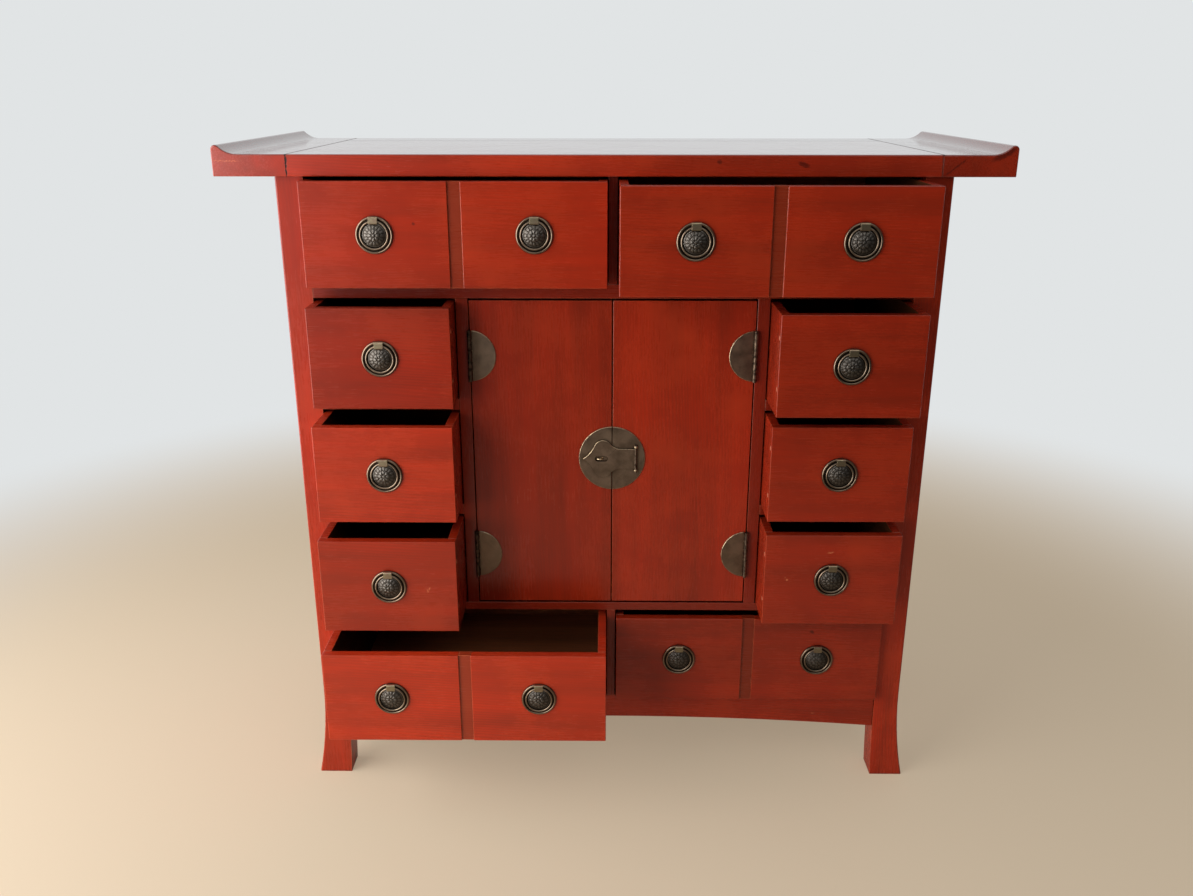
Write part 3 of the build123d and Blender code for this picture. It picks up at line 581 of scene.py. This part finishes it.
def rubbed_brass(part="wire"):
    """Brass rubbed by hands: brighter on its crowns, with brown left in its dips, and olive on the clips. On
    edges and the staple the bright brass is partly a painted highlight.
    """
    name = "rubbed_brass_" + part
    if name in bpy.data.materials:
        return bpy.data.materials[name]
    tone = settings("brass")
    # the colours of the dips and the crowns, and the roughness of the crowns
    dips, crowns, polish = {
        "wire": (tone.plate, tone.rubbed, 0.28),
        "clip": (tone.plate, tone.clip, 0.32),
        # edge: bare brass on rims and knobs, partly a painted highlight
        "edge": (tone.rubbed, tone.bare, 0.28),
        "barrel": (tone.patina, shade(tone.plate, 0.6), 0.4),
        # staple: paler than bare brass, a painted highlight on it
        "staple": (tone.bare, shade(tone.bare, 1.5), 0.16),
    }[part]
    made, tree, shader = start(name)
    place = add(tree, "ShaderNodeTexCoord").outputs["Object"]
    wear = add(tree, "ShaderNodeTexNoise", {"Vector": place, "Scale": per(5.263), "Detail": 4.0,
                                            "Roughness": 0.6}).outputs["Fac"]
    bared = add(tree, "ShaderNodeMapRange", {"Value": wear, "From Min": 0.36, "From Max": 0.58}).outputs[0]
    metal = add(tree, "ShaderNodeMix", {SHARE: bared, UNDER: opaque(dips), OVER: opaque(crowns)},
                data_type="RGBA").outputs[MIXED]
    shader.inputs["Metallic"].default_value = 1.0
    rough = add(tree, "ShaderNodeMapRange", {"Value": wear, "To Min": polish + 0.2,
                                             "To Max": polish}).outputs[0]
    surface(tree, shader, metal, rough, wear, strength=0.3, depth=0.2)
    return made


# ---------------------------------------------------------------- shaping
MERGED = 0.002 * MM  # a CAD node's points closer than that are one
FLAT = 0.6  # its faces that turn by fewer degrees lie in one plane
ARRIS = 35  # its edges that turn by more degrees are arrises
FORWARD = -0.9  # a face looks forward if its normal's Y is under that
BROAD = 60 * MM * MM  # a face over that area is the front of a sheet, and no knuckle or staple
RIM = 1  # the material of a sheet's rim, rubbed bare and partly a painted highlight


def smooth(form, sharp=50):
    """Smooth faces, with the edges that turn by more than that many degrees kept sharp."""
    for face in form.faces:
        face.smooth = True
    for edge in form.edges:
        edge.smooth = not edge.is_manifold or edge.calc_face_angle(0.0) < math.radians(sharp)


def rounded(form, edges, arris, clamped=False):
    """Rounds edges over that width, and a clamped one over less where short edges leave it no room."""
    return bmesh.ops.bevel(form, geom=edges, offset=arris, offset_type="OFFSET", affect="EDGES", segments=2,
                           profile=0.5, material=-1, clamp_overlap=clamped, loop_slide=clamped)["faces"]


def outer_edges(form, angle):
    """The edges of a form that turn outwards by more than that many degrees."""
    return [edge for edge in form.edges
            if edge.is_manifold and edge.is_convex and edge.calc_face_angle(0.0) > math.radians(angle)]


def rim_edges(form, edges, rim):
    """Those edges round a sheet's broad front for whose middle rim is true."""
    broad = {face for face in form.faces if face.normal.y < FORWARD and face.calc_area() > BROAD}
    return [edge for edge in edges
            if not broad.isdisjoint(edge.link_faces) and rim((edge.verts[0].co + edge.verts[1].co) / 2)]


def meshed(form, name):
    """Turns a finished form into a mesh."""
    mesh = bpy.data.meshes.new(name)
    form.to_mesh(mesh)
    form.free()
    return mesh


def to_piece(form, name, materials, body, slot, *nodes):
    """Turns a finished form into an object that rides its body and stands for those CAD nodes.

    How much paler its coat is, partly its own tone and partly painted light and shade, is written on it for
    the lacquer to read.
    """
    lift = form.verts.layers.float.new("lift")
    for vert in form.verts:
        vert[lift] = PIECE_TONE_AND_LIGHT.get(name.removesuffix("_finish"), 0.0)
    mesh = meshed(form, name)
    for material in materials:
        mesh.materials.append(material)
    piece = bpy.data.objects.new(name, mesh)
    bpy.context.scene.collection.objects.link(piece)
    piece.modifiers.new("flat faces stay flat", "WEIGHTED_NORMAL").keep_sharp = True
    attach(piece, body)
    if nodes:
        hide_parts(*nodes)
    return piece


def dressed(node, arris, materials, body="case", slot="lacquer", pick=None, rim=None):
    """A copy of a CAD node with its doubles merged, its flats whole and its arrises eased.

    The materials are a list, and pick says which one a face takes. With rim only the rim of a sheet is
    eased, and takes a material of its own.
    """
    form = bmesh.new()
    form.from_mesh(frame["nodes"][node].data)
    bmesh.ops.remove_doubles(form, verts=form.verts, dist=MERGED)
    bmesh.ops.dissolve_limit(form, angle_limit=math.radians(FLAT), verts=form.verts, edges=form.edges)
    form.normal_update()
    edges = outer_edges(form, ARRIS)
    if rim:
        # the short edges of the knuckles would hold back a clamped rounding
        for face in rounded(form, rim_edges(form, edges, rim), arris):
            face.material_index = RIM
    else:
        rounded(form, edges, arris, clamped=True)
    smooth(form)
    if pick:
        for face in form.faces:
            face.material_index = max(face.material_index, int(pick(face)))
    return to_piece(form, node + "_finish", materials, body, slot, node)


def board(form, low, high, arris, layer=0):
    """A plain board between two corners, with eased edges. Its faces take the material of that layer."""
    before = set(form.faces)
    low, high = Vector(low), Vector(high)
    corners = bmesh.ops.create_cube(form, size=1.0)["verts"]
    bmesh.ops.scale(form, vec=high - low, verts=corners)
    bmesh.ops.translate(form, vec=(low + high) / 2, verts=corners)
    rounded(form, list({edge for corner in corners for edge in corner.link_edges}), arris)
    made = [face for face in form.faces if face not in before]
    for face in made:
        face.material_index = layer
    return made


# ---------------------------------------------------------------- case
class CABINET_OT_dress_case(bpy.types.Operator):
    """Lacquer on the top, posts, rails and panels, and stain on the boards inside"""
    bl_idname = "cabinet.dress_case"
    bl_label = "Case"

    UPWARD = 0.3  # a face of the top is polished if its normal's Z is over that
    # the nodes of each part of the case, with the axis along which their grain runs
    TOP = {"top_front_board": "X", "top_back_board": "X", "top_end_right": "Y", "top_end_left": "Y"}
    OUTSIDE = {
        "front_post_right": "Z", "front_post_left": "Z", "back_post_right": "Z", "back_post_left": "Z",
        "side_panels": "Z", "back_panel": "Z", "front_apron": "X", "case_aprons": "X",
    }
    FRAME = {"head_rail": "X", "lower_rail": "X", "column_rails": "X", "front_uprights": "Z"}
    INSIDE = {"dust_boards": "X", "cupboard_shelf": "X", "partitions": "Y", "drawer_runners": "Y"}

    def execute(self, context):
        arris = settings("lacquer").arris
        for node, grain in self.TOP.items():
            dressed(node, arris, [red_lacquer(grain, "jointed"), red_lacquer(grain, "polished")],
                    pick=lambda face: face.normal.z > self.UPWARD)
        for node, grain in self.OUTSIDE.items():
            dressed(node, arris, [red_lacquer(grain)])
        # rails and uprights take the shaded coat: their own deeper red, and partly painted shade from the
        # drawers standing out
        for node, grain in self.FRAME.items():
            dressed(node, arris, [red_lacquer(grain, "shaded")])
        for node, grain in self.INSIDE.items():
            dressed(node, arris / 2, [stained_wood(grain)], slot="inner_wood")
        return {"FINISHED"}


# ---------------------------------------------------------------- drawers
LACQUERED, SIDE, STAINED, STRIP = range(4)  # the materials of a drawer, in their order
PEG_HEIGHTS = (0.27, 0.77)  # as shares of the height of a front
INWARD = 0.7  # a face of a side looks into the drawer if its normal does by more than that


def drawer_nodes():
    """The names of the drawers' CAD nodes."""
    return sorted(node for node in frame["nodes"] if node.startswith("drawer_") and node != "drawer_runners")


def drawer_front(form, low, high, sizes):
    """A front; on a wide drawer it is two raised fields with a sunk strip between them."""
    back = low.y + sizes.front
    strip = [sizes.strip_in, sizes.strip_out]
    if low.x < -sizes.strip_out:
        strip = [-sizes.strip_out, -sizes.strip_in]
    if not low.x < strip[0] < high.x:
        board(form, low, (high.x, back, high.z), sizes.front_arris)
        return
    board(form, low, (strip[0], back, high.z), sizes.front_arris)
    board(form, (strip[1], low.y, low.z), (high.x, back, high.z), sizes.front_arris)
    board(form, (strip[0], low.y + sizes.strip_recess, low.z), (strip[1], back, high.z), 0.1 * MM, STRIP)


def drawer_box(form, low, high, sizes):
    """Sides, back and bottom, joined behind the front."""
    front = low.y + sizes.front
    for x0, x1 in ((low.x, low.x + sizes.side), (high.x - sizes.side, high.x)):
        for face in board(form, (x0, front, low.z), (x1, high.y, high.z), sizes.box_arris):
            # the inner faces of the sides take the blacker stain, a painted shade
            inward = face.normal.x * (1 if x0 == low.x else -1)
            face.material_index = SIDE if inward > INWARD else LACQUERED
    left, right = low.x + sizes.side, high.x - sizes.side
    floor = low.z + sizes.raised
    board(form, (left, high.y - sizes.back, floor + sizes.bottom),
          (right, high.y, high.z - sizes.back_drop), sizes.box_arris, STAINED)
    # the bottom is let into the sides and the front, and ends just short of the back's outer face
    let_in = 0.1 * MM
    board(form, (left - let_in, front - let_in, floor),
          (right + let_in, high.y - let_in, floor + sizes.bottom), 0.05 * MM, STAINED)
    # a skin of stain on the back of the front, partly sunk in it, that stops short of its upper edge
    sunk, skin, drop = 0.05 * MM, 0.15 * MM, 1.5 * MM
    board(form, (left, front - sunk, floor), (right, front + skin, high.z - drop), 0.03 * MM, STAINED)


def pegs(form, low, high, sizes):
    """Two peg ends in each end of a front, halfway through it, that stand a little proud."""
    proud, thick, taper = 0.02 * MM, 0.3 * MM, 0.85
    for x, facing in ((low.x, -1), (high.x, 1)):
        turn = Matrix.Rotation(math.pi / 2 * facing, 4, "Y")
        for share in PEG_HEIGHTS:
            middle = (x + facing * proud, low.y + sizes.front / 2, low.z + share * (high.z - low.z))
            bmesh.ops.create_cone(form, cap_ends=True, segments=12, radius1=sizes.peg_radius,
                                  radius2=taper * sizes.peg_radius, depth=thick,
                                  matrix=Matrix.Translation(middle) @ turn)


class CABINET_OT_make_drawers(bpy.types.Operator):
    """Drawer boxes with eased fronts, dark insides and pegged joints"""
    bl_idname = "cabinet.make_drawers"
    bl_label = "Drawers"

    def execute(self, context):
        sizes = settings("drawers")
        # the drawers' inner sides take a blacker stain: painted shade, as little light reaches inside them
        woods = [red_lacquer("X"), stained_wood("Y", 0.2), stained_wood("X"), red_lacquer("X", "browned")]
        for node in drawer_nodes():
            low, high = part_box(node)
            name = node.removeprefix("drawer_")
            form = bmesh.new()
            drawer_front(form, low, high, sizes)
            drawer_box(form, low, high, sizes)
            smooth(form)
            to_piece(form, node + "_finish", woods, name + "_drawer", "drawer_wood", node)
            form = bmesh.new()
            pegs(form, low, high, sizes)
            smooth(form)
            to_piece(form, "pegs_" + name, [peg_wood()], name + "_drawer", "drawer_wood")
        return {"FINISHED"}


# ---------------------------------------------------------------- ring pulls
# Plate, clip and ring are each made once, about the origin and facing -Y, and then placed.
def chain(form, points):
    """Edges through points of a section."""
    verts = [form.verts.new(point) for point in points]
    for a, b in zip(verts, verts[1:]):
        form.edges.new((a, b))


def onward(form, vert, **place):
    """A new vertex joined to the last one of a chain, moved to a place along Y or Z."""
    new = bmesh.ops.extrude_vert_indiv(form, verts=[vert])["verts"][0]
    for axis, value in place.items():
        setattr(new.co, axis, value)
    return new


def arc(form, vert, centre, degrees, steps):
    """A chain of edges from a vertex that turns in Y and Z about a centre. Returns its last vertex."""
    chained = bmesh.ops.spin(form, geom=[vert], cent=centre, axis=(1, 0, 0), angle=math.radians(degrees),
                             steps=steps, use_merge=False, use_duplicate=False)
    return chained["geom_last"][0]


def turned(form, section, steps):
    """Turns a section all round about Y and merges the points at its poles and its seam."""
    bmesh.ops.spin(form, geom=section, cent=(0, 0, 0), axis=(0, 1, 0), angle=FULL_TURN, steps=steps,
                   use_merge=True, use_duplicate=False)
    bmesh.ops.remove_doubles(form, verts=form.verts, dist=0.01 * MM)


def relief_at(radius, angle, sizes):
    """Height of the chased flower at a place on the boss, from 0 to 1."""
    r = radius / sizes.boss_radius
    if r < BEAD:
        return 0.6 * math.sqrt(1 - (r / BEAD) ** 2) + 0.4
    for inner, outer, height, swell, lobes, cut in FLOWER:
        if inner < r < outer:
            across = math.sin(math.pi * (r - inner) / (outer - inner)) ** swell
            return height * across * abs(math.cos(lobes * sizes.petals * angle)) ** cut
    return 0.0


def plate_section(sizes, boss_steps=29, rim_steps=10):
    """Radius and height of points from the middle of the boss out to the foot of the rim."""
    foot = 0.8 * MM  # steep foot of the boss, which leans out by a quarter of its height
    rise = sizes.boss_height - sizes.pan - foot
    curve = (sizes.boss_radius ** 2 + rise ** 2) / (2 * rise)
    points = []
    for i in range(boss_steps + 1):
        r = sizes.boss_radius * i / boss_steps
        points.append((r, sizes.boss_height - curve + math.sqrt(curve ** 2 - r ** 2)))
    points.append((sizes.boss_radius + foot / 4, sizes.pan))
    middle = sizes.plate_radius - sizes.rim_width / 2
    for i in range(rim_steps + 1):
        turn = math.pi * i / rim_steps
        points.append((middle - math.cos(turn) * sizes.rim_width / 2,
                       sizes.pan + math.sin(turn) * (sizes.rim_height - sizes.pan)))
    points.append((sizes.plate_radius, 0.0))
    return points


def pull_plate(sizes):
    """Plate turned about its middle, its boss chased with petals. Its back is at Y = 0."""
    form = bmesh.new()
    raised = form.verts.layers.float.new("raised")
    rim = form.verts.layers.float.new("rim")
    chain(form, [(radius, -height, 0) for radius, height in plate_section(sizes)])
    turned(form, form.verts[:] + form.edges[:], steps=96)
    for vert in form.verts:
        radius = math.hypot(vert.co.x, vert.co.z)
        if radius <= sizes.boss_radius:
            high = relief_at(radius, math.atan2(vert.co.z, vert.co.x), sizes)
            # the hollows run out towards the foot of the boss
            depth = min(1, 2.5 * (1 - radius / sizes.boss_radius) + 0.2)
            vert.co.y += sizes.relief * (1 - high) * depth
            vert[raised] = 0.15 + 0.75 * high
        elif radius > sizes.plate_radius - sizes.rim_width:
            vert[raised] = min(1.0, max(0.0, (-vert.co.y - sizes.pan) / (sizes.rim_height - sizes.pan)))
            vert[rim] = 1.0
    bmesh.ops.recalc_face_normals(form, faces=form.faces)
    smooth(form, sharp=65)
    return form


def pull_strap(sizes):
    """Clip that comes out of the plate under the ring, stands flat in front of it and folds over the rim."""
    form = bmesh.new()
    low = sizes.ring_radius - sizes.strap_reach
    front = -sizes.stand_off - sizes.strap_reach
    high = sizes.plate_radius - 0.2 * MM
    bend, fold = sizes.strap_bend, sizes.strap_fold
    end = form.verts.new((0, -sizes.pan, low))
    end = onward(form, end, y=front + bend)
    end = arc(form, end, Vector((0, front + bend, low + bend)), degrees=-90, steps=4)
    end = onward(form, end, z=high - fold)
    end = arc(form, end, Vector((0, front + fold, high - fold)), degrees=-90, steps=5)
    onward(form, end, y=-0.75 * sizes.rim_height)  # it ends just behind the top of the rim
    edges = form.edges[:]
    bmesh.ops.translate(form, vec=(-sizes.strap_width / 2, 0, 0), verts=form.verts)
    side = bmesh.ops.extrude_edge_only(form, edges=edges)["geom"]
    across = [item for item in side if isinstance(item, bmesh.types.BMVert)]
    bmesh.ops.translate(form, vec=(sizes.strap_width, 0, 0), verts=across)
    bmesh.ops.recalc_face_normals(form, faces=form.faces)
    bmesh.ops.solidify(form, geom=form.faces[:], thickness=sizes.strap_wall)
    bmesh.ops.recalc_face_normals(form, faces=form.faces)
    rounded(form, outer_edges(form, 60), 0.3 * MM, clamped=True)
    smooth(form)
    return form


def pull_ring(sizes):
    """Ring of round wire that hangs round the boss."""
    form = bmesh.new()
    place = Matrix.Translation((sizes.ring_radius, 0, 0))
    wire = bmesh.ops.create_circle(form, cap_ends=False, radius=sizes.ring_wire, segments=14, matrix=place)
    turned(form, wire["verts"] + form.edges[:], steps=80)
    bmesh.ops.recalc_face_normals(form, faces=form.faces)
    smooth(form, sharp=80)
    return form


def placed(form, mesh, place):
    """Adds a copy of a mesh, moved to a place, to a form."""
    before = set(form.verts)
    form.from_mesh(mesh)
    bmesh.ops.translate(form, vec=place, verts=[vert for vert in form.verts if vert not in before])


class CABINET_OT_make_pulls(bpy.types.Operator):
    """Chased plates, clips and rings of the fourteen ring pulls"""
    bl_idname = "cabinet.make_pulls"
    bl_label = "Ring pulls"

    def execute(self, context):
        sizes = settings("pulls")
        patterns = [meshed(make(sizes), make.__name__) for make in (pull_plate, pull_strap, pull_ring)]
        plate, strap, ring = patterns
        middles = {node: sum(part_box(node), Vector()) / 2
                   for node in sorted(frame["nodes"]) if node.startswith("ring_")}
        for node, middle in middles.items():
            form = bmesh.new()
            placed(form, ring, middle)
            to_piece(form, node + "_finish", [rubbed_brass()], node, "brass", node)
        for drawer in drawer_nodes():
            name = drawer.removeprefix("drawer_")
            plates, straps = bmesh.new(), bmesh.new()
            for node, middle in middles.items():
                if node in ("ring_" + name, "ring_" + name + "_inner"):
                    on_front = middle + Vector((0, sizes.stand_off, 0))
                    placed(plates, plate, on_front)
                    placed(straps, strap, on_front)
            body, node = name + "_drawer", "pulls_" + name
            to_piece(plates, node + "_plates", [chased_metal()], body, "brass", node)
            to_piece(straps, node + "_clips", [rubbed_brass("clip")], body, "brass", node)
        for mesh in patterns:
            bpy.data.meshes.remove(mesh)
        return {"FINISHED"}


# ---------------------------------------------------------------- doors and brass
class CABINET_OT_dress_doors(bpy.types.Operator):
    """Lacquer on the pair of cupboard doors"""
    bl_idname = "cabinet.dress_doors"
    bl_label = "Doors"

    def execute(self, context):
        arris = settings("lacquer").arris
        for side in ("right", "left"):
            dressed("door_" + side, 2 * arris, [red_lacquer("Z")], side + "_door")
        return {"FINISHED"}


SHEET, BARREL, STAPLE = 0, 2, 3  # the materials of a fitting besides its rim
SHEET_DEPTH = 2.5 * MM  # what lies further forward of a sheet's back than that stands in front of it
STAPLE_FROM = -100 * MM  # the staple lies between that X and the middle
MEETING = 2 * MM  # the plates' rims are dull that near to where the doors meet
HASP_HOLE, HOLE_REACH, HOLE_RISE = -15 * MM, 14 * MM, 6 * MM  # its X, and its size to each side and upwards


def brass_of(back, staple_from=0.0):
    """Says which brass a face takes, of a sheet with its back at that Y.

    What stands in front of the sheet is a barrel, or the staple from that X up to the middle.
    """
    def part(face):
        middle = face.calc_center_median()
        if middle.y > back - SHEET_DEPTH:
            return SHEET
        return STAPLE if staple_from < middle.x < 0 else BARREL
    return part


class CABINET_OT_dress_brass(bpy.types.Operator):
    """Browned brass hinges, lock plates, staple and hasp"""
    bl_idname = "cabinet.dress_brass"
    bl_label = "Door brass"

    def execute(self, context):
        tone = settings("brass")
        brasses = [browned_brass(), rubbed_brass("edge"), rubbed_brass("barrel"), rubbed_brass("staple")]
        low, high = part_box("hasp")
        middle = (low + high) / 2
        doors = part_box("door_right_brass")[1].y

        def clear_of_meeting(place):
            """The plates are rubbed all round, partly as a painted highlight, but not where the two doors
            meet.
            """
            return abs(place.x) > MEETING

        def upper_edge(place):
            """The hasp is rubbed along its upper edge, but not round its hole: a painted highlight where the
            light falls.
            """
            at_hole = abs(place.x - HASP_HOLE) < HOLE_REACH
            return place.z > middle.z + (HOLE_RISE if at_hole else 0)

        for node, body, pick, rim in (
                ("door_right_brass", "right_door", brass_of(doors), clear_of_meeting),
                ("door_left_brass", "left_door", brass_of(doors, STAPLE_FROM), clear_of_meeting),
                ("hinge_leaves", "case", brass_of(doors), clear_of_meeting),
                ("hasp", "hasp", brass_of(high.y), upper_edge)):
            dressed(node, tone.arris, brasses, body, "brass", pick, rim)
        form = bmesh.new()
        for side in (-1, 1):
            place = Matrix.Translation((high.x - tone.barrel, middle.y, middle.z + side * tone.knob_height))
            bmesh.ops.create_uvsphere(form, u_segments=24, v_segments=16, radius=tone.knob, matrix=place)
        smooth(form, sharp=80)
        to_piece(form, "hasp_pin_knobs", [rubbed_brass("edge")], "right_door", "brass")
        return {"FINISHED"}


# ---------------------------------------------------------------- studio
# lamps: place, target, width and height in metres, and the setting that holds the power
LAMPS = {
    "window_lamp": ((-1.7, -0.95, 0.95), (0.0, -0.3, 0.6), 2.4, 1.9, "key"),
    "fill_lamp": ((0.7, -2.6, 2.7), (0.0, 0.0, 0.5), 2.2, 1.6, "fill"),
}
FLOOR_SIZE = 30.0
CAMERA_PLACE = (-0.011449, -1.754381, 1.166152)
CAMERA_TURN = (-0.008364134, 0.33293328, 0.00036695)  # yaw to the right, pitch down and roll, in radians
SENSOR = 36.0  # width in millimetres
FOCAL_LENGTH = 1056.275 / 1193  # as a share of the picture's width


def camera_turn(yaw, pitch, roll):
    """Rotation of a camera that looks along +Y, turned to the right by yaw and down by pitch."""
    forward = Vector((math.sin(yaw) * math.cos(pitch), math.cos(yaw) * math.cos(pitch), -math.sin(pitch)))
    right = Vector((math.cos(yaw), -math.sin(yaw), 0))
    up = right.cross(forward)
    across = math.cos(roll) * right + math.sin(roll) * up
    upward = math.cos(roll) * up - math.sin(roll) * right
    return Matrix((across, upward, -forward)).transposed()


def lamp(name, place, target, width, height, power):
    """A soft rectangular lamp that faces a target."""
    data = bpy.data.lights.new(name, "AREA")
    data.shape = "RECTANGLE"
    data.size, data.size_y = width, height
    data.energy = power
    made = bpy.data.objects.new(name, data)
    made.location = place
    made.rotation_euler = (Vector(target) - Vector(place)).to_track_quat("-Z", "Y").to_euler()
    return made


def seen_directly(tree):
    """1 for rays that show the surroundings: straight from the camera, off gloss or through glass."""
    path = add(tree, "ShaderNodeLightPath").outputs
    seen = add(tree, "ShaderNodeMath", {0: path["Is Camera Ray"], 1: path["Is Glossy Ray"]},
               operation="MAXIMUM").outputs[0]
    return add(tree, "ShaderNodeMath", {0: seen, 1: path["Is Transmission Ray"]},
               operation="MAXIMUM").outputs[0]


def as_mirrored(tree, toward, tone):
    """Level of the surroundings: whole to the camera, and dimmer in gloss in front of the cabinet.

    It takes the direction from the cabinet. The side of the window and the ceiling stay brighter.
    """
    axes = add(tree, "ShaderNodeSeparateXYZ", {"Vector": toward}).outputs
    level = add(tree, "ShaderNodeMapRange", {"Value": axes["Y"], "From Min": -0.5, "From Max": 0.4,
                                             "To Min": tone.room}, interpolation_type="SMOOTHSTEP").outputs[0]
    window = add(tree, "ShaderNodeMapRange", {"Value": axes["X"], "From Min": -0.05, "From Max": -0.4,
                                              "To Max": tone.window},
                 interpolation_type="SMOOTHSTEP").outputs[0]
    above = add(tree, "ShaderNodeMapRange", {"Value": axes["Z"], "From Min": 0.35, "From Max": 0.8},
                interpolation_type="SMOOTHSTEP").outputs[0]
    path = add(tree, "ShaderNodeLightPath").outputs
    for other in (window, above, path["Is Camera Ray"], path["Is Transmission Ray"]):
        level = add(tree, "ShaderNodeMath", {0: level, 1: other}, operation="MAXIMUM").outputs[0]
    return level


def studio_air(tone):
    """Pale surroundings: bright behind the cabinet, dimmer on the side that its front mirrors."""
    world = bpy.data.worlds.new("studio_air")
    world.use_nodes = True
    tree = world.node_tree
    toward = add(tree, "ShaderNodeTexCoord").outputs["Generated"]
    seen = add(tree, "ShaderNodeMapRange", {"Value": seen_directly(tree), "To Min": tone.sky}).outputs[0]
    level = add(tree, "ShaderNodeMath", {0: as_mirrored(tree, toward, tone), 1: seen},
                operation="MULTIPLY").outputs[0]
    background = tree.nodes["Background"]
    background.inputs["Color"].default_value = opaque(tone.air)
    tree.links.new(level, background.inputs["Strength"])
    return world


def floor_finish(tone):
    """Seamless studio paper: plain, matt, and fading into the backdrop far from the cabinet.

    Part of its light is its own where it is seen, which evens out the lamp and leaves the shadow on it.
    """
    made, tree, shader = start("matt_studio_paper")
    shader.inputs["Base Color"].default_value = opaque(tone.floor)
    shader.inputs["Roughness"].default_value = 0.75
    place = add(tree, "ShaderNodeTexCoord").outputs["Object"]
    far = add(tree, "ShaderNodeVectorMath", {0: place}, operation="LENGTH").outputs["Value"]
    far = add(tree, "ShaderNodeMapRange", {"Value": far, "From Min": 1.1, "From Max": 2.4},
              interpolation_type="SMOOTHSTEP").outputs[0]
    shown = add(tree, "ShaderNodeMix", {SHARE: far, UNDER: opaque(shade(tone.floor, 0.9)),
                                        OVER: opaque(tone.air)}, data_type="RGBA").outputs[MIXED]
    share = add(tree, "ShaderNodeMapRange", {"Value": far, "To Min": 0.45, "To Max": 1.0}).outputs[0]
    share = add(tree, "ShaderNodeMath", {0: share, 1: seen_directly(tree)}, operation="MULTIPLY").outputs[0]
    toward = add(tree, "ShaderNodeVectorMath", {0: place}, operation="NORMALIZE").outputs["Vector"]
    level = as_mirrored(tree, toward, tone)
    glow = add(tree, "ShaderNodeEmission", {"Color": shown, "Strength": level}).outputs[0]
    mixed = add(tree, "ShaderNodeMixShader", {0: share, 1: shader.outputs[0], 2: glow}).outputs[0]
    tree.links.new(mixed, tree.nodes["Material Output"].inputs["Surface"])
    return made


class CABINET_OT_make_studio(bpy.types.Operator):
    """Plain pale floor, soft lamps and the camera"""
    bl_idname = "cabinet.make_studio"
    bl_label = "Studio"

    def execute(self, context):
        tone = settings("studio")
        objects = context.scene.collection.objects
        form = bmesh.new()
        bmesh.ops.create_grid(form, x_segments=2, y_segments=2, size=FLOOR_SIZE)
        floor = bpy.data.objects.new("studio_floor", meshed(form, "studio_floor"))
        floor.data.materials.append(floor_finish(tone))
        objects.link(floor)
        context.scene.world = studio_air(tone)
        for name, (place, target, width, height, power) in LAMPS.items():
            objects.link(lamp(name, place, target, width, height, getattr(tone, power)))
        data = bpy.data.cameras.new("view")
        data.sensor_width = SENSOR
        data.lens = SENSOR * FOCAL_LENGTH
        camera = bpy.data.objects.new("view", data)
        camera.matrix_world = Matrix.Translation(CAMERA_PLACE) @ camera_turn(*CAMERA_TURN).to_4x4()
        objects.link(camera)
        context.scene.camera = camera
        context.scene.view_settings.view_transform = "Standard"
        return {"FINISHED"}


# ---------------------------------------------------------------- panel and registration
STEPS = (CABINET_OT_dress_case, CABINET_OT_make_drawers, CABINET_OT_make_pulls, CABINET_OT_dress_doors,
         CABINET_OT_dress_brass, CABINET_OT_make_studio)


class VIEW3D_PT_cabinet(bpy.types.Panel):
    """The steps that finish the cabinet, in order"""
    bl_label = "Cabinet"
    bl_space_type = "VIEW_3D"
    bl_region_type = "UI"
    bl_category = "Cabinet"

    def draw(self, context):
        for step in STEPS:
            self.layout.operator(step.bl_idname)
        for group in GROUPS:
            box = self.layout.box()
            owner = getattr(context.scene, group)
            for name in owner.__annotations__:
                box.prop(owner, name)


def register():
    for made in (*GROUPS.values(), *STEPS, VIEW3D_PT_cabinet):
        bpy.utils.register_class(made)
    for name, group in GROUPS.items():
        setattr(bpy.types.Scene, name, PointerProperty(type=group))


def unregister():
    for name in GROUPS:
        delattr(bpy.types.Scene, name)
    for made in reversed((*GROUPS.values(), *STEPS, VIEW3D_PT_cabinet)):
        bpy.utils.unregister_class(made)


def main():
    register()
    bpy.ops.cabinet.dress_case()
    bpy.ops.cabinet.make_drawers()
    bpy.ops.cabinet.make_pulls()
    bpy.ops.cabinet.dress_doors()
    bpy.ops.cabinet.dress_brass()
    bpy.ops.cabinet.make_studio()


if __name__ == "__main__":
    main()
